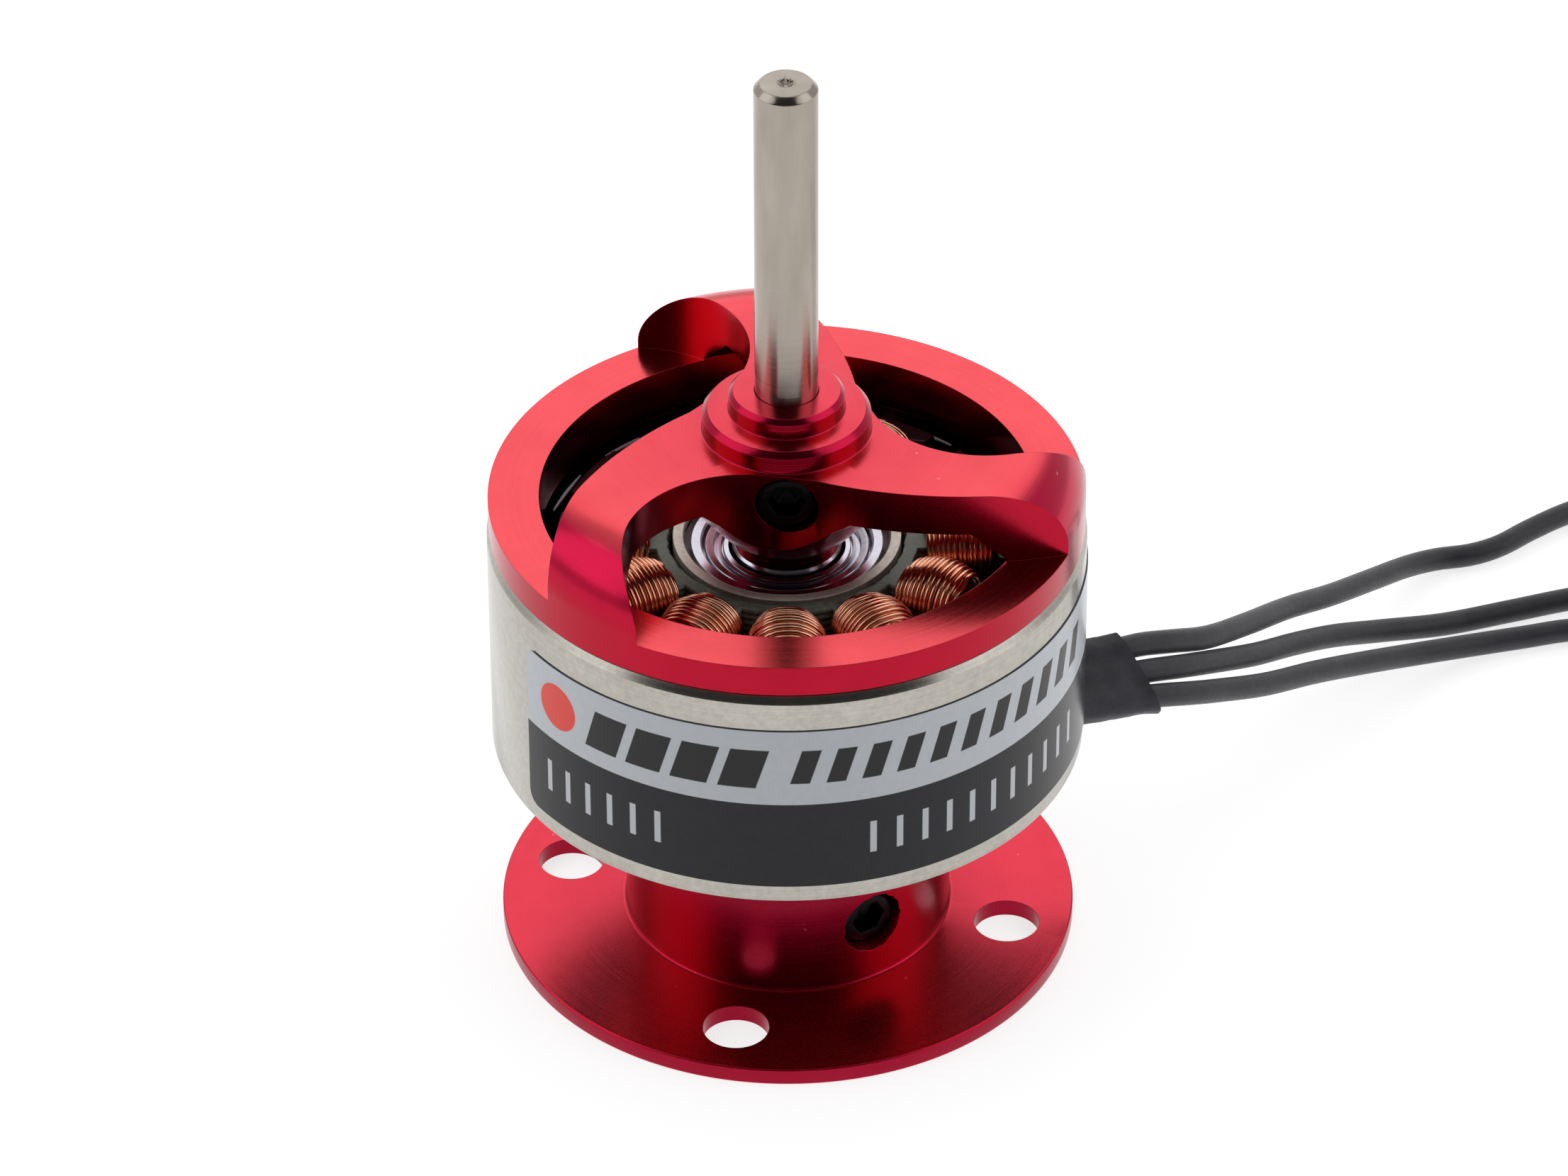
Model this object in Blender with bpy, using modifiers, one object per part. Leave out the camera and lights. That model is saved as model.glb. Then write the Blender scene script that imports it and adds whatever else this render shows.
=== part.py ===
"""Brushless outrunner motor: a red anodised bell on a 3 mm shaft, turning round a fixed twelve-tooth stator.

Metres, +Z up along the shaft. The origin is the centre of the mount flange's underside, which stands on z = 0.
Sizes below are in millimetres; MM turns them into metres where the shapes are made.
"""
import math

import bmesh
import bpy
from mathutils import Matrix, Vector

MM = 0.001
NAME = "outrunner_motor"

# Sides of the turned pieces
ROTOR_STEPS = 64
MOUNT_STEPS = 48
BEARING_STEPS = 30
SHAFT_STEPS = 24
SCREW_STEPS = 16
CONNECTOR_STEPS = 12

# Running and seating gaps
FIT_GAP = 0.1            # between nested round pieces
FACE_GAP = 0.3           # between faces that touch on the real motor

# Shaft and the two bearings (3 x 10 x 4)
SHAFT_R = 1.5
SHAFT_TOP = 47.63
SHAFT_BOTTOM = 0.4
SHAFT_CHAMFER = 0.25
CENTRE_MARK_R = 0.32
CENTRE_MARK_DEPTH = 0.18
BORE_R = 1.55
BEARING_R = 5.0
BEARING_HALF = 2.0
BEARING_EDGE = 0.2
INNER_RACE_R = 2.6
OUTER_RACE_LIP_R = 4.12
OUTER_RACE_SHOULDER_R = 3.86
SHIELD_SEAT = 1.25       # half distance between the two shield seats
BALL_PITCH_R = 3.25
BALL_R = 0.75
GROOVE_R = 0.85
BALLS = 7
UPPER_BEARING_Z = 20.0
LOWER_BEARING_Z = 3.9

# Retaining clip and washer under the lower bearing
CLIP_GROOVE = (1.15, 1.62)
CLIP_GROOVE_R = 1.15
CLIP_Z = (1.2, 1.57)
CLIP_R = 2.9
WASHER_Z = (1.68, 1.86)
WASHER_R = 2.45

# Mount: flange and hub turned from one bar
FLANGE_R = 14.03
FLANGE_TOP = 0.87
FLANGE_EDGE = 0.12
HUB_R = 7.93
HUB_TOP = 9.6
HUB_EDGE = 0.25
HUB_FILLET = 0.2
HUB_BORE_R = 5.55
HOLE_R = 1.6
HOLE_PITCH_R = 11.0
HOLE_FIRST_DEG = -13.25
MOUNT_SCREW_DEG = 301.5
MOUNT_SCREW_Z = 4.1
MOUNT_SCREW_R_SPAN = (5.6, 7.45)

# Bearing tube
TUBE_R = 5.45
TUBE_BOTTOM = 0.95
TUBE_TOP = 22.38
TUBE_SEAT_R = 5.05
TUBE_BORE_R = 4.3
TUBE_MOUTH = 0.12

# Stator stack and coils
STATOR_R = 11.0
STATOR_BORE_R = 5.55
STATOR_Z = (12.3, 22.3)
TEETH = 12
TOOTH_FIRST_DEG = 0.0
STATOR_HUB_R = 6.3
TOOTH_HALF = 1.1
TIP_ROOT_R = 9.85
TIP_HALF_DEG = 10.6
TIP_FLARE_R = 10.2
COIL_R_SPAN = (6.5, 9.7)
COIL_HOLE_HALF = (1.2, 5.1)
COIL_HOLE_CORNER = 0.2
COIL_HALF_NEAR = (1.6, 5.85)     # half width and half height at the end near the axis
COIL_HALF_FAR = (2.05, 6.05)     # and at the far end
COIL_CORNER = 0.7

# Rotor can and magnets
CAN_R = 14.3
CAN_BORE_R = 13.1
CAN_Z = (11.31, 23.14)
CAN_TOP_CHAMFER = (0.28, 0.4)
CAN_LOW_CHAMFER = 0.12
MAGNETS = 14
MAGNET_FACE_SPAN = (11.46, 12.90)
MAGNET_HALF_WIDE = 1.6
MAGNET_Z = (12.3, 21.7)
MAGNET_FIRST_DEG = 2.9

# Label wrapped on the can
LABEL_R_SPAN = (14.33, 14.4)
LABEL_Z = (12.24, 21.34)
LABEL_START_DEG = 211.5
LABEL_SWEEP_DEG = 210.0
LABEL_CORNER = 0.7
LABEL_COLUMNS = 50

# Bell cap
CAP_R = 14.2
CAP_RIM_BOTTOM = 23.24
CAP_RING_TOP = 24.86
CAP_RING_BORE_R = 11.77
SPIGOT_R = 12.95
SPIGOT_BOTTOM = 22.25
SPOKE_TOP = 28.62
SPOKE_UNDER = 26.45
SHOULDER_R = 3.35
BIG_STEP = (4.0, 29.71)
SMALL_STEP = (2.75, 30.71)
STEP_EDGE = 0.2
STEP_FILLET = 0.18
BOSS_TOP_R = 5.8
BOSS_TIP_R = 2.3
BOSS_TIP_Z = 22.3
UNDER_CORNER = (10.4, 25.0)      # radius where the underside starts to fall, height where it meets the rim
POCKETS = 3
POCKET_ARC_CENTRE = (-1.95, -9.70)
POCKET_ARC_R = 5.68
POCKET_ARC_END_DEG = 77.0
SPOKE_ARC_CENTRE = (8.3, 13.12)
SPOKE_ARC_R = 19.0
SPOKE_ARC_START_DEG = 248.4
POCKET_RUNOUT_R = 14.9
POCKET_DEEP_R = 11.6
POCKET_DEEP_Z = 20.5
HUB_SCREW_Z = 27.0
HUB_SCREW_R_SPAN = (1.75, 4.05)
HUB_SCREW_DEG = 270.0

# M3 set screws
SCREW_HOLE_R = 1.5
SCREW_R = 1.4
SOCKET_FLATS = 1.5
SOCKET_DEPTH = 1.0

# Leads: three silicone wires, a flat shrink sleeve round them and a bullet connector on each
LEAD_R = 0.6
LEAD_POINT_STEP = 2.8
SLEEVE_HALF_WIDTH = 2.15
SLEEVE_HALF_THICK = 0.85
SLEEVE_DEG = 21.0
SLEEVE_ROUTE = ((9.4, 9.7, 0.0), (11.5, 9.6, 8.0), (13.6, 9.45, 18.0), (15.4, 9.4, 30.0),
                (16.6, 9.35, 36.0), (18.0, 9.25, 40.0))       # radius, height, tilt in degrees
SLEEVE_END_SKEW = 0.55
CONNECTOR_R = 1.25
CONNECTOR_LENGTH = 12.0

LEAD_ROUTES = {
    "a": ((16.45, 7.4, 10.1), (17.5, 8.0, 9.95), (19.0, 9.0, 9.4), (20.9, 10.7, 8.4), (23.1, 13.9, 6.9),
          (25.4, 17.6, 5.2), (27.8, 20.9, 3.6), (30.2, 24.2, 2.2), (32.2, 26.8, 1.15), (33.9, 28.1, 0.7), (35.7, 28.6, 0.62),
          (37.3, 29.4, 0.62), (39.1, 30.9, 0.62), (41.2, 32.4, 0.62), (44.3, 34.0, 0.62), (48.5, 35.2, 0.62),
          (53.0, 35.5, 0.62), (56.6, 35.0, 0.85), (59.2, 34.3, 1.2), (60.6, 33.9, 1.27)),
    "b": ((17.1, 6.55, 9.25), (18.1, 7.15, 9.0), (19.4, 8.1, 8.5), (21.0, 9.7, 7.6), (23.4, 12.5, 6.0),
          (25.7, 15.6, 4.4), (27.9, 18.2, 3.0), (30.5, 20.4, 1.7), (33.9, 22.2, 0.8), (37.5, 23.6, 0.62), (40.5, 24.6, 0.62),
          (44.5, 25.7, 0.62), (49.0, 26.4, 0.62), (53.5, 26.5, 0.62), (58.0, 26.0, 0.62), (61.8, 25.2, 0.85),
          (64.4, 24.5, 1.2), (65.8, 24.1, 1.27)),
    "c": ((17.75, 5.75, 8.4), (18.7, 6.3, 8.1), (19.9, 7.1, 7.6), (21.4, 8.4, 6.8), (23.9, 10.8, 5.4),
          (26.6, 13.7, 4.0), (29.3, 16.4, 2.6), (32.0, 18.6, 1.5), (35.5, 20.5, 0.75), (38.0, 21.3, 0.62), (40.4, 21.9, 0.62),
          (44.2, 22.3, 0.62), (48.5, 21.9, 0.62), (53.0, 20.6, 0.62), (57.5, 18.7, 0.62), (61.4, 16.8, 0.85),
          (64.0, 15.5, 1.2), (65.3, 14.8, 1.27)),
}

FINISHES = {
    "red_anodised": ((0.62, 0.03, 0.06), 0.32, 0.9),
    "nickel_steel": ((0.72, 0.70, 0.66), 0.3, 1.0),
    "label_film": ((0.55, 0.57, 0.6), 0.35, 0.1),
    "magnet_nickel": ((0.5, 0.5, 0.5), 0.3, 1.0),
    "shaft_steel": ((0.55, 0.52, 0.48), 0.28, 1.0),
    "bearing_steel": ((0.6, 0.6, 0.62), 0.2, 1.0),
    "bare_aluminium": ((0.6, 0.58, 0.56), 0.5, 0.9),
    "lamination_coat": ((0.03, 0.045, 0.035), 0.5, 0.0),
    "copper_wire": ((0.72, 0.32, 0.14), 0.25, 0.9),
    "black_oxide": ((0.02, 0.02, 0.022), 0.45, 0.6),
    "shrink_sleeve": ((0.03, 0.028, 0.032), 0.6, 0.0),
    "lead_silicone": ((0.025, 0.024, 0.028), 0.5, 0.0),
    "gold_contact": ((0.8, 0.6, 0.25), 0.25, 1.0),
}


def clear_scene():
    for item in list(bpy.data.objects):
        bpy.data.objects.remove(item, do_unlink=True)


def make_collection(name):
    group = bpy.data.collections.new(name)
    bpy.context.scene.collection.children.link(group)
    return group


def make_materials():
    made = {}
    for name, (colour, roughness, metallic) in FINISHES.items():
        material = bpy.data.materials.new(name)
        material.use_nodes = True
        shader = material.node_tree.nodes["Principled BSDF"]
        shader.inputs["Base Color"].default_value = (*colour, 1.0)
        shader.inputs["Roughness"].default_value = roughness
        shader.inputs["Metallic"].default_value = metallic
        made[name] = material
    return made


def polar(radius, degrees):
    angle = math.radians(degrees)
    return (radius * math.cos(angle), radius * math.sin(angle))


def arc(centre, radius, start_deg, end_deg, count):
    """Points on an arc, both ends included."""
    points = []
    for i in range(count):
        x, y = polar(radius, start_deg + (end_deg - start_deg) * i / (count - 1))
        points.append((centre[0] + x, centre[1] + y))
    return points


def finish(obj, finish_name, sharp_deg=35.0):
    """Material, smooth shading and the model's collection."""
    obj.data.materials.clear()
    obj.data.materials.append(MATERIALS[finish_name])
    obj.data.shade_smooth()
    obj.data.set_sharp_from_angle(angle=math.radians(sharp_deg))
    MODEL.objects.link(obj)
    return obj


def as_cutter(obj):
    obj.hide_render = True
    obj.display_type = "WIRE"
    CUTTERS.objects.link(obj)
    return obj


def subtract(obj, cutter):
    modifier = obj.modifiers.new("cut_" + cutter.name, "BOOLEAN")
    modifier.operation = "DIFFERENCE"
    modifier.solver = "EXACT"
    modifier.object = cutter


def unite(obj, other):
    modifier = obj.modifiers.new("join_" + other.name, "BOOLEAN")
    modifier.operation = "UNION"
    modifier.solver = "EXACT"
    modifier.object = other


def turned(name, profile, steps, closed=True):
    """A profile of (radius, height) points turned about Z; it runs down its outer side, top to bottom."""
    mesh = bpy.data.meshes.new(name)
    points = [(r * MM, 0.0, z * MM) for r, z in profile]
    edges = [(i, i + 1) for i in range(len(points) - 1)]
    if closed:
        edges.append((len(points) - 1, 0))
    mesh.from_pydata(points, edges, [])
    obj = bpy.data.objects.new(name, mesh)
    screw = obj.modifiers.new("turn", "SCREW")
    screw.axis = "Z"
    screw.angle = math.tau
    screw.steps = steps
    screw.render_steps = steps
    screw.use_merge_vertices = True
    screw.merge_threshold = 0.000001
    screw.use_smooth_shade = True
    return obj


def flat_solid(name, outlines, bottom, top):
    """Closed 2D outlines (the later ones are holes) filled and given the thickness from bottom to top."""
    curve = bpy.data.curves.new(name + "_outline", "CURVE")
    curve.dimensions = "2D"
    curve.fill_mode = "BOTH"
    curve.extrude = (top - bottom) / 2 * MM
    for outline in outlines:
        spline = curve.splines.new("POLY")
        spline.points.add(len(outline) - 1)
        for point, (x, y) in zip(spline.points, outline):
            point.co = (x * MM, y * MM, 0.0, 1.0)
        spline.use_cyclic_u = True
    return curve_to_mesh(name, curve, Matrix.Translation((0, 0, (bottom + top) / 2 * MM)))


def curve_to_mesh(name, curve, placing=Matrix.Identity(4)):
    """The curve's evaluated mesh with its caps welded, as a new object; the curve is removed."""
    source = bpy.data.objects.new(name + "_curve", curve)
    bpy.context.scene.collection.objects.link(source)
    bpy.context.view_layer.update()
    evaluated = source.evaluated_get(bpy.context.evaluated_depsgraph_get())
    mesh = bpy.data.meshes.new_from_object(evaluated)
    mesh.name = name
    work = bmesh.new()
    work.from_mesh(mesh)
    bmesh.ops.remove_doubles(work, verts=work.verts, dist=0.000001)
    bmesh.ops.transform(work, matrix=placing, verts=work.verts)
    bmesh.ops.recalc_face_normals(work, faces=work.faces)
    work.to_mesh(mesh)
    work.free()
    bpy.data.objects.remove(source, do_unlink=True)
    bpy.data.curves.remove(curve)
    return bpy.data.objects.new(name, mesh)


def round_bar(name, radius, length, segments, radius_end=None):
    """A cylinder or cone frustum along +Z from the origin."""
    mesh = bpy.data.meshes.new(name)
    work = bmesh.new()
    end = radius if radius_end is None else radius_end
    bmesh.ops.create_cone(work, cap_ends=True, segments=segments, radius1=radius * MM, radius2=end * MM,
                          depth=length * MM)
    bmesh.ops.translate(work, vec=(0, 0, length / 2 * MM), verts=work.verts)
    work.to_mesh(mesh)
    work.free()
    return bpy.data.objects.new(name, mesh)


def point_outwards(obj, degrees, radius, height):
    """Turns a shape made along +Z so that it runs outwards from the axis at this azimuth and height."""
    x, y = polar(radius, degrees)
    turn = Matrix.Rotation(math.radians(degrees), 4, "Z") @ Matrix.Rotation(math.radians(90), 4, "Y")
    obj.data.transform(Matrix.Translation((x * MM, y * MM, height * MM)) @ turn)
    return obj


def rounded_box(half_x, half_y, radius, corner_points=3):
    """A rounded rectangle's outline, anticlockwise."""
    points = []
    for sx, sy, start in ((1, 1, 0), (-1, 1, 90), (-1, -1, 180), (1, -1, 270)):
        centre = (sx * (half_x - radius), sy * (half_y - radius))
        points.extend(arc(centre, radius, start, start + 90, corner_points))
    return points


def turn_copy(source, name, degrees):
    """A copy that shares the mesh, turned about Z."""
    obj = bpy.data.objects.new(name, source.data)
    obj.rotation_euler = (0, 0, math.radians(degrees))
    return obj


# ---------------------------------------------------------------- mount and bearing tube

def make_mount():
    profile = [
        (HUB_R - HUB_EDGE, HUB_TOP),
        (HUB_R, HUB_TOP - HUB_EDGE),
        (HUB_R, FLANGE_TOP + HUB_FILLET),
        (HUB_R + HUB_FILLET, FLANGE_TOP),
        (FLANGE_R - FLANGE_EDGE, FLANGE_TOP),
        (FLANGE_R, FLANGE_TOP - FLANGE_EDGE),
        (FLANGE_R, FLANGE_EDGE),
        (FLANGE_R - FLANGE_EDGE, 0.0),
        (HUB_BORE_R + FLANGE_EDGE, 0.0),
        (HUB_BORE_R, FLANGE_EDGE),
        (HUB_BORE_R, HUB_TOP),
    ]
    mount = turned("mount_flange", profile, MOUNT_STEPS)
    for i in range(4):
        x, y = polar(HOLE_PITCH_R, HOLE_FIRST_DEG + 90 * i)
        cutter = round_bar("mount_hole_%d" % (i + 1), HOLE_R, 4 * FLANGE_TOP, 20)
        cutter.data.transform(Matrix.Translation((x * MM, y * MM, -FLANGE_TOP * MM)))
        subtract(mount, as_cutter(cutter))
    cutter = round_bar("mount_screw_hole", SCREW_HOLE_R, HUB_R, 20)
    point_outwards(cutter, MOUNT_SCREW_DEG, HUB_BORE_R - 1.5, MOUNT_SCREW_Z)
    subtract(mount, as_cutter(cutter))
    sink_depth = 0.5
    sink = round_bar("mount_screw_sink", SCREW_HOLE_R - 0.1, 2 * sink_depth, 20, SCREW_HOLE_R + 0.55)
    point_outwards(sink, MOUNT_SCREW_DEG, HUB_R - sink_depth, MOUNT_SCREW_Z)
    subtract(mount, as_cutter(sink))
    return finish(mount, "red_anodised")


def make_set_screw(name, degrees, span, height):
    """An M3 grub screw with a hexagon socket in its outer end."""
    length = span[1] - span[0]
    edge = 0.18
    profile = [
        (0.0, length), (SCREW_R - edge, length), (SCREW_R, length - edge),
        (SCREW_R, edge), (SCREW_R - edge, 0.0), (0.0, 0.0),
    ]
    screw = turned(name, profile, SCREW_STEPS, closed=False)
    socket = round_bar(name + "_socket", SOCKET_FLATS / math.sqrt(3), 2 * SOCKET_DEPTH, 6)
    socket.data.transform(Matrix.Translation((0, 0, (length - SOCKET_DEPTH) * MM)))
    subtract(screw, as_cutter(socket))
    x, y = polar(span[0], degrees)
    placing = Matrix.Translation((x * MM, y * MM, height * MM))
    placing = placing @ Matrix.Rotation(math.radians(degrees), 4, "Z") @ Matrix.Rotation(math.radians(90), 4, "Y")
    screw.matrix_world = placing
    socket.matrix_world = placing
    return finish(screw, "black_oxide")


def make_bearing_tube():
    upper_seat = UPPER_BEARING_Z - BEARING_HALF - FIT_GAP / 2
    lower_seat = LOWER_BEARING_Z + BEARING_HALF + FIT_GAP / 2
    profile = [
        (TUBE_R - TUBE_MOUTH, TUBE_TOP),
        (TUBE_R, TUBE_TOP - TUBE_MOUTH),
        (TUBE_R, TUBE_BOTTOM + TUBE_MOUTH),
        (TUBE_R - TUBE_MOUTH, TUBE_BOTTOM),
        (TUBE_SEAT_R, TUBE_BOTTOM),
        (TUBE_SEAT_R, lower_seat),
        (TUBE_BORE_R, lower_seat),
        (TUBE_BORE_R, upper_seat),
        (TUBE_SEAT_R, upper_seat),
        (TUBE_SEAT_R, TUBE_TOP),
    ]
    return finish(turned("bearing_tube", profile, BEARING_STEPS), "bare_aluminium")


# ---------------------------------------------------------------- bearings

def groove(side, height, count=4):
    """The ball groove of a race in profile: side +1 is cut in the outer race, -1 in the inner one."""
    shoulder = OUTER_RACE_SHOULDER_R if side > 0 else INNER_RACE_R
    half = math.degrees(math.acos(abs(shoulder - BALL_PITCH_R) / GROOVE_R))
    middle = 0 if side > 0 else 180
    return arc((BALL_PITCH_R, height), GROOVE_R, middle - half, middle + half, count)


def make_bearing(prefix, height):
    """Two races, two shields and the ball set of one bearing."""
    top = height + BEARING_HALF
    bottom = height - BEARING_HALF
    outer = [
        (BEARING_R - BEARING_EDGE, top), (BEARING_R, top - BEARING_EDGE),
        (BEARING_R, bottom + BEARING_EDGE), (BEARING_R - BEARING_EDGE, bottom),
        (OUTER_RACE_LIP_R, bottom), (OUTER_RACE_LIP_R, height - SHIELD_SEAT),
        (OUTER_RACE_SHOULDER_R, height - SHIELD_SEAT),
    ]
    outer += groove(1, height)
    outer += [(OUTER_RACE_SHOULDER_R, height + SHIELD_SEAT), (OUTER_RACE_LIP_R, height + SHIELD_SEAT),
              (OUTER_RACE_LIP_R, top)]
    finish(turned(prefix + "_outer_race", outer, BEARING_STEPS), "bearing_steel")
    inner = [(INNER_RACE_R - BEARING_EDGE / 2, top), (INNER_RACE_R, top - BEARING_EDGE / 2)]
    inner += groove(-1, height)
    inner += [(INNER_RACE_R, bottom + BEARING_EDGE / 2), (INNER_RACE_R - BEARING_EDGE / 2, bottom),
              (BORE_R, bottom), (BORE_R, top)]
    finish(turned(prefix + "_inner_race", inner, SHAFT_STEPS), "bearing_steel")
    for label, way in (("top", 1), ("bottom", -1)):
        seat = height + way * (SHIELD_SEAT + 0.06)
        skin = way * 0.2
        step = way * 0.14
        shield = [
            (OUTER_RACE_LIP_R - 0.06, seat + skin + step), (OUTER_RACE_LIP_R - 0.06, seat),
            (OUTER_RACE_SHOULDER_R - 0.1, seat), (INNER_RACE_R + 0.14, seat),
            (INNER_RACE_R + 0.14, seat + skin), (OUTER_RACE_SHOULDER_R - 0.3, seat + skin),
            (OUTER_RACE_SHOULDER_R - 0.12, seat + skin + step),
        ]
        if way < 0:
            shield.reverse()
        finish(turned("%s_shield_%s" % (prefix, label), shield, SHAFT_STEPS), "bearing_steel")
    make_ball_set(prefix + "_ball_set", height)


def make_ball_set(name, height):
    """Seven balls joined by their cage ring: the piece that rolls at its own speed between the races."""
    cage_r = (3.02, 3.48)
    cage_half = 0.3
    cage = turned(name, [(cage_r[1], height + cage_half), (cage_r[1], height - cage_half),
                         (cage_r[0], height - cage_half), (cage_r[0], height + cage_half)], SHAFT_STEPS)
    for i in range(BALLS):
        mesh = bpy.data.meshes.new("%s_ball_%d" % (name, i + 1))
        work = bmesh.new()
        bmesh.ops.create_icosphere(work, subdivisions=2, radius=BALL_R * MM)
        x, y = polar(BALL_PITCH_R, 360 * (i + 0.25) / BALLS)
        bmesh.ops.translate(work, vec=(x * MM, y * MM, height * MM), verts=work.verts)
        work.to_mesh(mesh)
        work.free()
        unite(cage, as_cutter(bpy.data.objects.new(mesh.name, mesh)))
    finish(cage, "bearing_steel")


# ---------------------------------------------------------------- stator

def tooth_outline(degrees):
    """One tooth and the stretch of stator hub after it, anticlockwise."""
    pitch = 360 / TEETH
    root = math.degrees(math.asin(TOOTH_HALF / STATOR_HUB_R))
    neck = math.degrees(math.asin(TOOTH_HALF / TIP_ROOT_R))
    points = [polar(STATOR_HUB_R, degrees - root), polar(TIP_ROOT_R, degrees - neck),
              polar(TIP_FLARE_R, degrees - TIP_HALF_DEG)]
    points += arc((0, 0), STATOR_R, degrees - TIP_HALF_DEG, degrees + TIP_HALF_DEG, 5)
    points += [polar(TIP_FLARE_R, degrees + TIP_HALF_DEG), polar(TIP_ROOT_R, degrees + neck),
               polar(STATOR_HUB_R, degrees + root), polar(STATOR_HUB_R, degrees + pitch / 2)]
    return points


def make_stator_core():
    outline = []
    for i in range(TEETH):
        outline += tooth_outline(TOOTH_FIRST_DEG + 360 / TEETH * i)
    bore = arc((0, 0), STATOR_BORE_R, 0, 360 - 360 / 48, 48)
    return finish(flat_solid("stator_core", [outline, bore], *STATOR_Z), "lamination_coat")


def make_coils():
    """A closed winding round each tooth: wider at its outer end, where the slots open out."""
    outer = rounded_box(*COIL_HALF_NEAR, COIL_CORNER, 4)
    hole = rounded_box(*COIL_HOLE_HALF, COIL_HOLE_CORNER, 2)
    middle = sum(STATOR_Z) / 2
    first = flat_solid("coil_01", [outer, hole], *COIL_R_SPAN)
    halfway = sum(COIL_R_SPAN) / 2 * MM
    for vertex in first.data.vertices:
        across, along, radius = vertex.co
        outside = abs(across) > COIL_HOLE_HALF[0] * MM * 1.01 or abs(along) > COIL_HOLE_HALF[1] * MM * 1.01
        if outside and radius > halfway:
            vertex.co.x = across * COIL_HALF_FAR[0] / COIL_HALF_NEAR[0]
            vertex.co.y = along * COIL_HALF_FAR[1] / COIL_HALF_NEAR[1]
    stand = Matrix.Rotation(math.radians(90), 4, "Z") @ Matrix.Rotation(math.radians(90), 4, "X")
    first.data.transform(Matrix.Translation((0, 0, middle * MM)) @ stand)
    for i in range(TEETH):
        coil = first if i == 0 else turn_copy(first, "coil_%02d" % (i + 1), 0)
        coil.rotation_euler = (0, 0, math.radians(TOOTH_FIRST_DEG + 360 / TEETH * i))
        finish(coil, "copper_wire")


# ---------------------------------------------------------------- rotor

def make_flux_ring():
    bottom, top = CAN_Z
    in_by, down = CAN_TOP_CHAMFER
    profile = [
        (CAN_R - in_by, top), (CAN_R, top - down), (CAN_R, bottom + CAN_LOW_CHAMFER),
        (CAN_R - CAN_LOW_CHAMFER, bottom), (CAN_BORE_R + CAN_LOW_CHAMFER, bottom),
        (CAN_BORE_R, bottom + CAN_LOW_CHAMFER), (CAN_BORE_R, top),
    ]
    return finish(turned("flux_ring", profile, ROTOR_STEPS), "nickel_steel")


def make_magnets():
    """Flat blocks with parallel sides, evenly spaced round the inside of the can."""
    near, far = MAGNET_FACE_SPAN
    wide = MAGNET_HALF_WIDE
    block = []
    for x, y in ((near, -wide), (far, -wide), (far, wide), (near, wide)):
        block.append(polar(math.hypot(x, y), MAGNET_FIRST_DEG + math.degrees(math.atan2(y, x))))
    first = flat_solid("magnet_01", [block], *MAGNET_Z)
    for i in range(MAGNETS):
        magnet = first if i == 0 else turn_copy(first, "magnet_%02d" % (i + 1), 360 / MAGNETS * i)
        finish(magnet, "magnet_nickel")


def make_label():
    """A thin film that follows the can: a rounded rectangle, bent round the axis."""
    length = math.radians(LABEL_SWEEP_DEG) * LABEL_R_SPAN[0]
    height = LABEL_Z[1] - LABEL_Z[0]
    work = bmesh.new()
    bmesh.ops.create_grid(work, x_segments=LABEL_COLUMNS, y_segments=1, size=0.5)
    for vertex in work.verts:
        along = (vertex.co.x + 0.5) * length
        from_end = min(along, length - along)
        drop = 0.0
        if from_end < LABEL_CORNER:
            drop = LABEL_CORNER - math.sqrt(LABEL_CORNER ** 2 - (LABEL_CORNER - from_end) ** 2)
        half = height / 2 - drop
        angle = math.radians(LABEL_START_DEG) + along / LABEL_R_SPAN[0]
        x, y = polar(LABEL_R_SPAN[0], math.degrees(angle))
        z = sum(LABEL_Z) / 2 + (half if vertex.co.y > 0 else -half)
        vertex.co = Vector((x, y, z)) * MM
    mesh = bpy.data.meshes.new("label")
    bmesh.ops.recalc_face_normals(work, faces=work.faces)
    work.to_mesh(mesh)
    work.free()
    label = bpy.data.objects.new("label", mesh)
    middle_face = mesh.polygons[LABEL_COLUMNS // 2]
    outwards = Vector((middle_face.center.x, middle_face.center.y, 0)).dot(middle_face.normal) > 0
    solid = label.modifiers.new("film", "SOLIDIFY")
    solid.thickness = (LABEL_R_SPAN[1] - LABEL_R_SPAN[0]) * MM
    solid.offset = 1.0 if outwards else -1.0
    return finish(label, "label_film")


def pocket_outline(run_out):
    """One window between two spokes, closed by an arc of radius run_out about the axis.

    Its first side is a circular milled wall that sweeps in from the rim to the hub; the second is the long,
    gently bowed flank of the next spoke, from the hub back out to the rim.
    """
    first = arc_exit(POCKET_ARC_CENTRE, POCKET_ARC_R, run_out)
    points = arc(POCKET_ARC_CENTRE, POCKET_ARC_R, first, POCKET_ARC_END_DEG, 15)
    last = arc_exit(SPOKE_ARC_CENTRE, SPOKE_ARC_R, run_out)
    points += arc(SPOKE_ARC_CENTRE, SPOKE_ARC_R, SPOKE_ARC_START_DEG, last, 9)
    start = math.degrees(math.atan2(points[-1][1], points[-1][0]))
    end = math.degrees(math.atan2(points[0][1], points[0][0]))
    points += arc((0, 0), run_out, start, end, 12)[1:-1]
    points.reverse()
    return points


def arc_exit(centre, radius, run_out):
    """The angle on a circle where, going clockwise about the axis, it crosses radius run_out."""
    centre_r = math.hypot(*centre)
    swing = math.acos((run_out ** 2 - centre_r ** 2 - radius ** 2) / (2 * centre_r * radius))
    return math.degrees(math.atan2(centre[1], centre[0]) - swing) + 360


def shoulder_points(count):
    return arc((CAP_R - SHOULDER_R, SPOKE_TOP - SHOULDER_R), SHOULDER_R, 90, 0, count)


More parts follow.
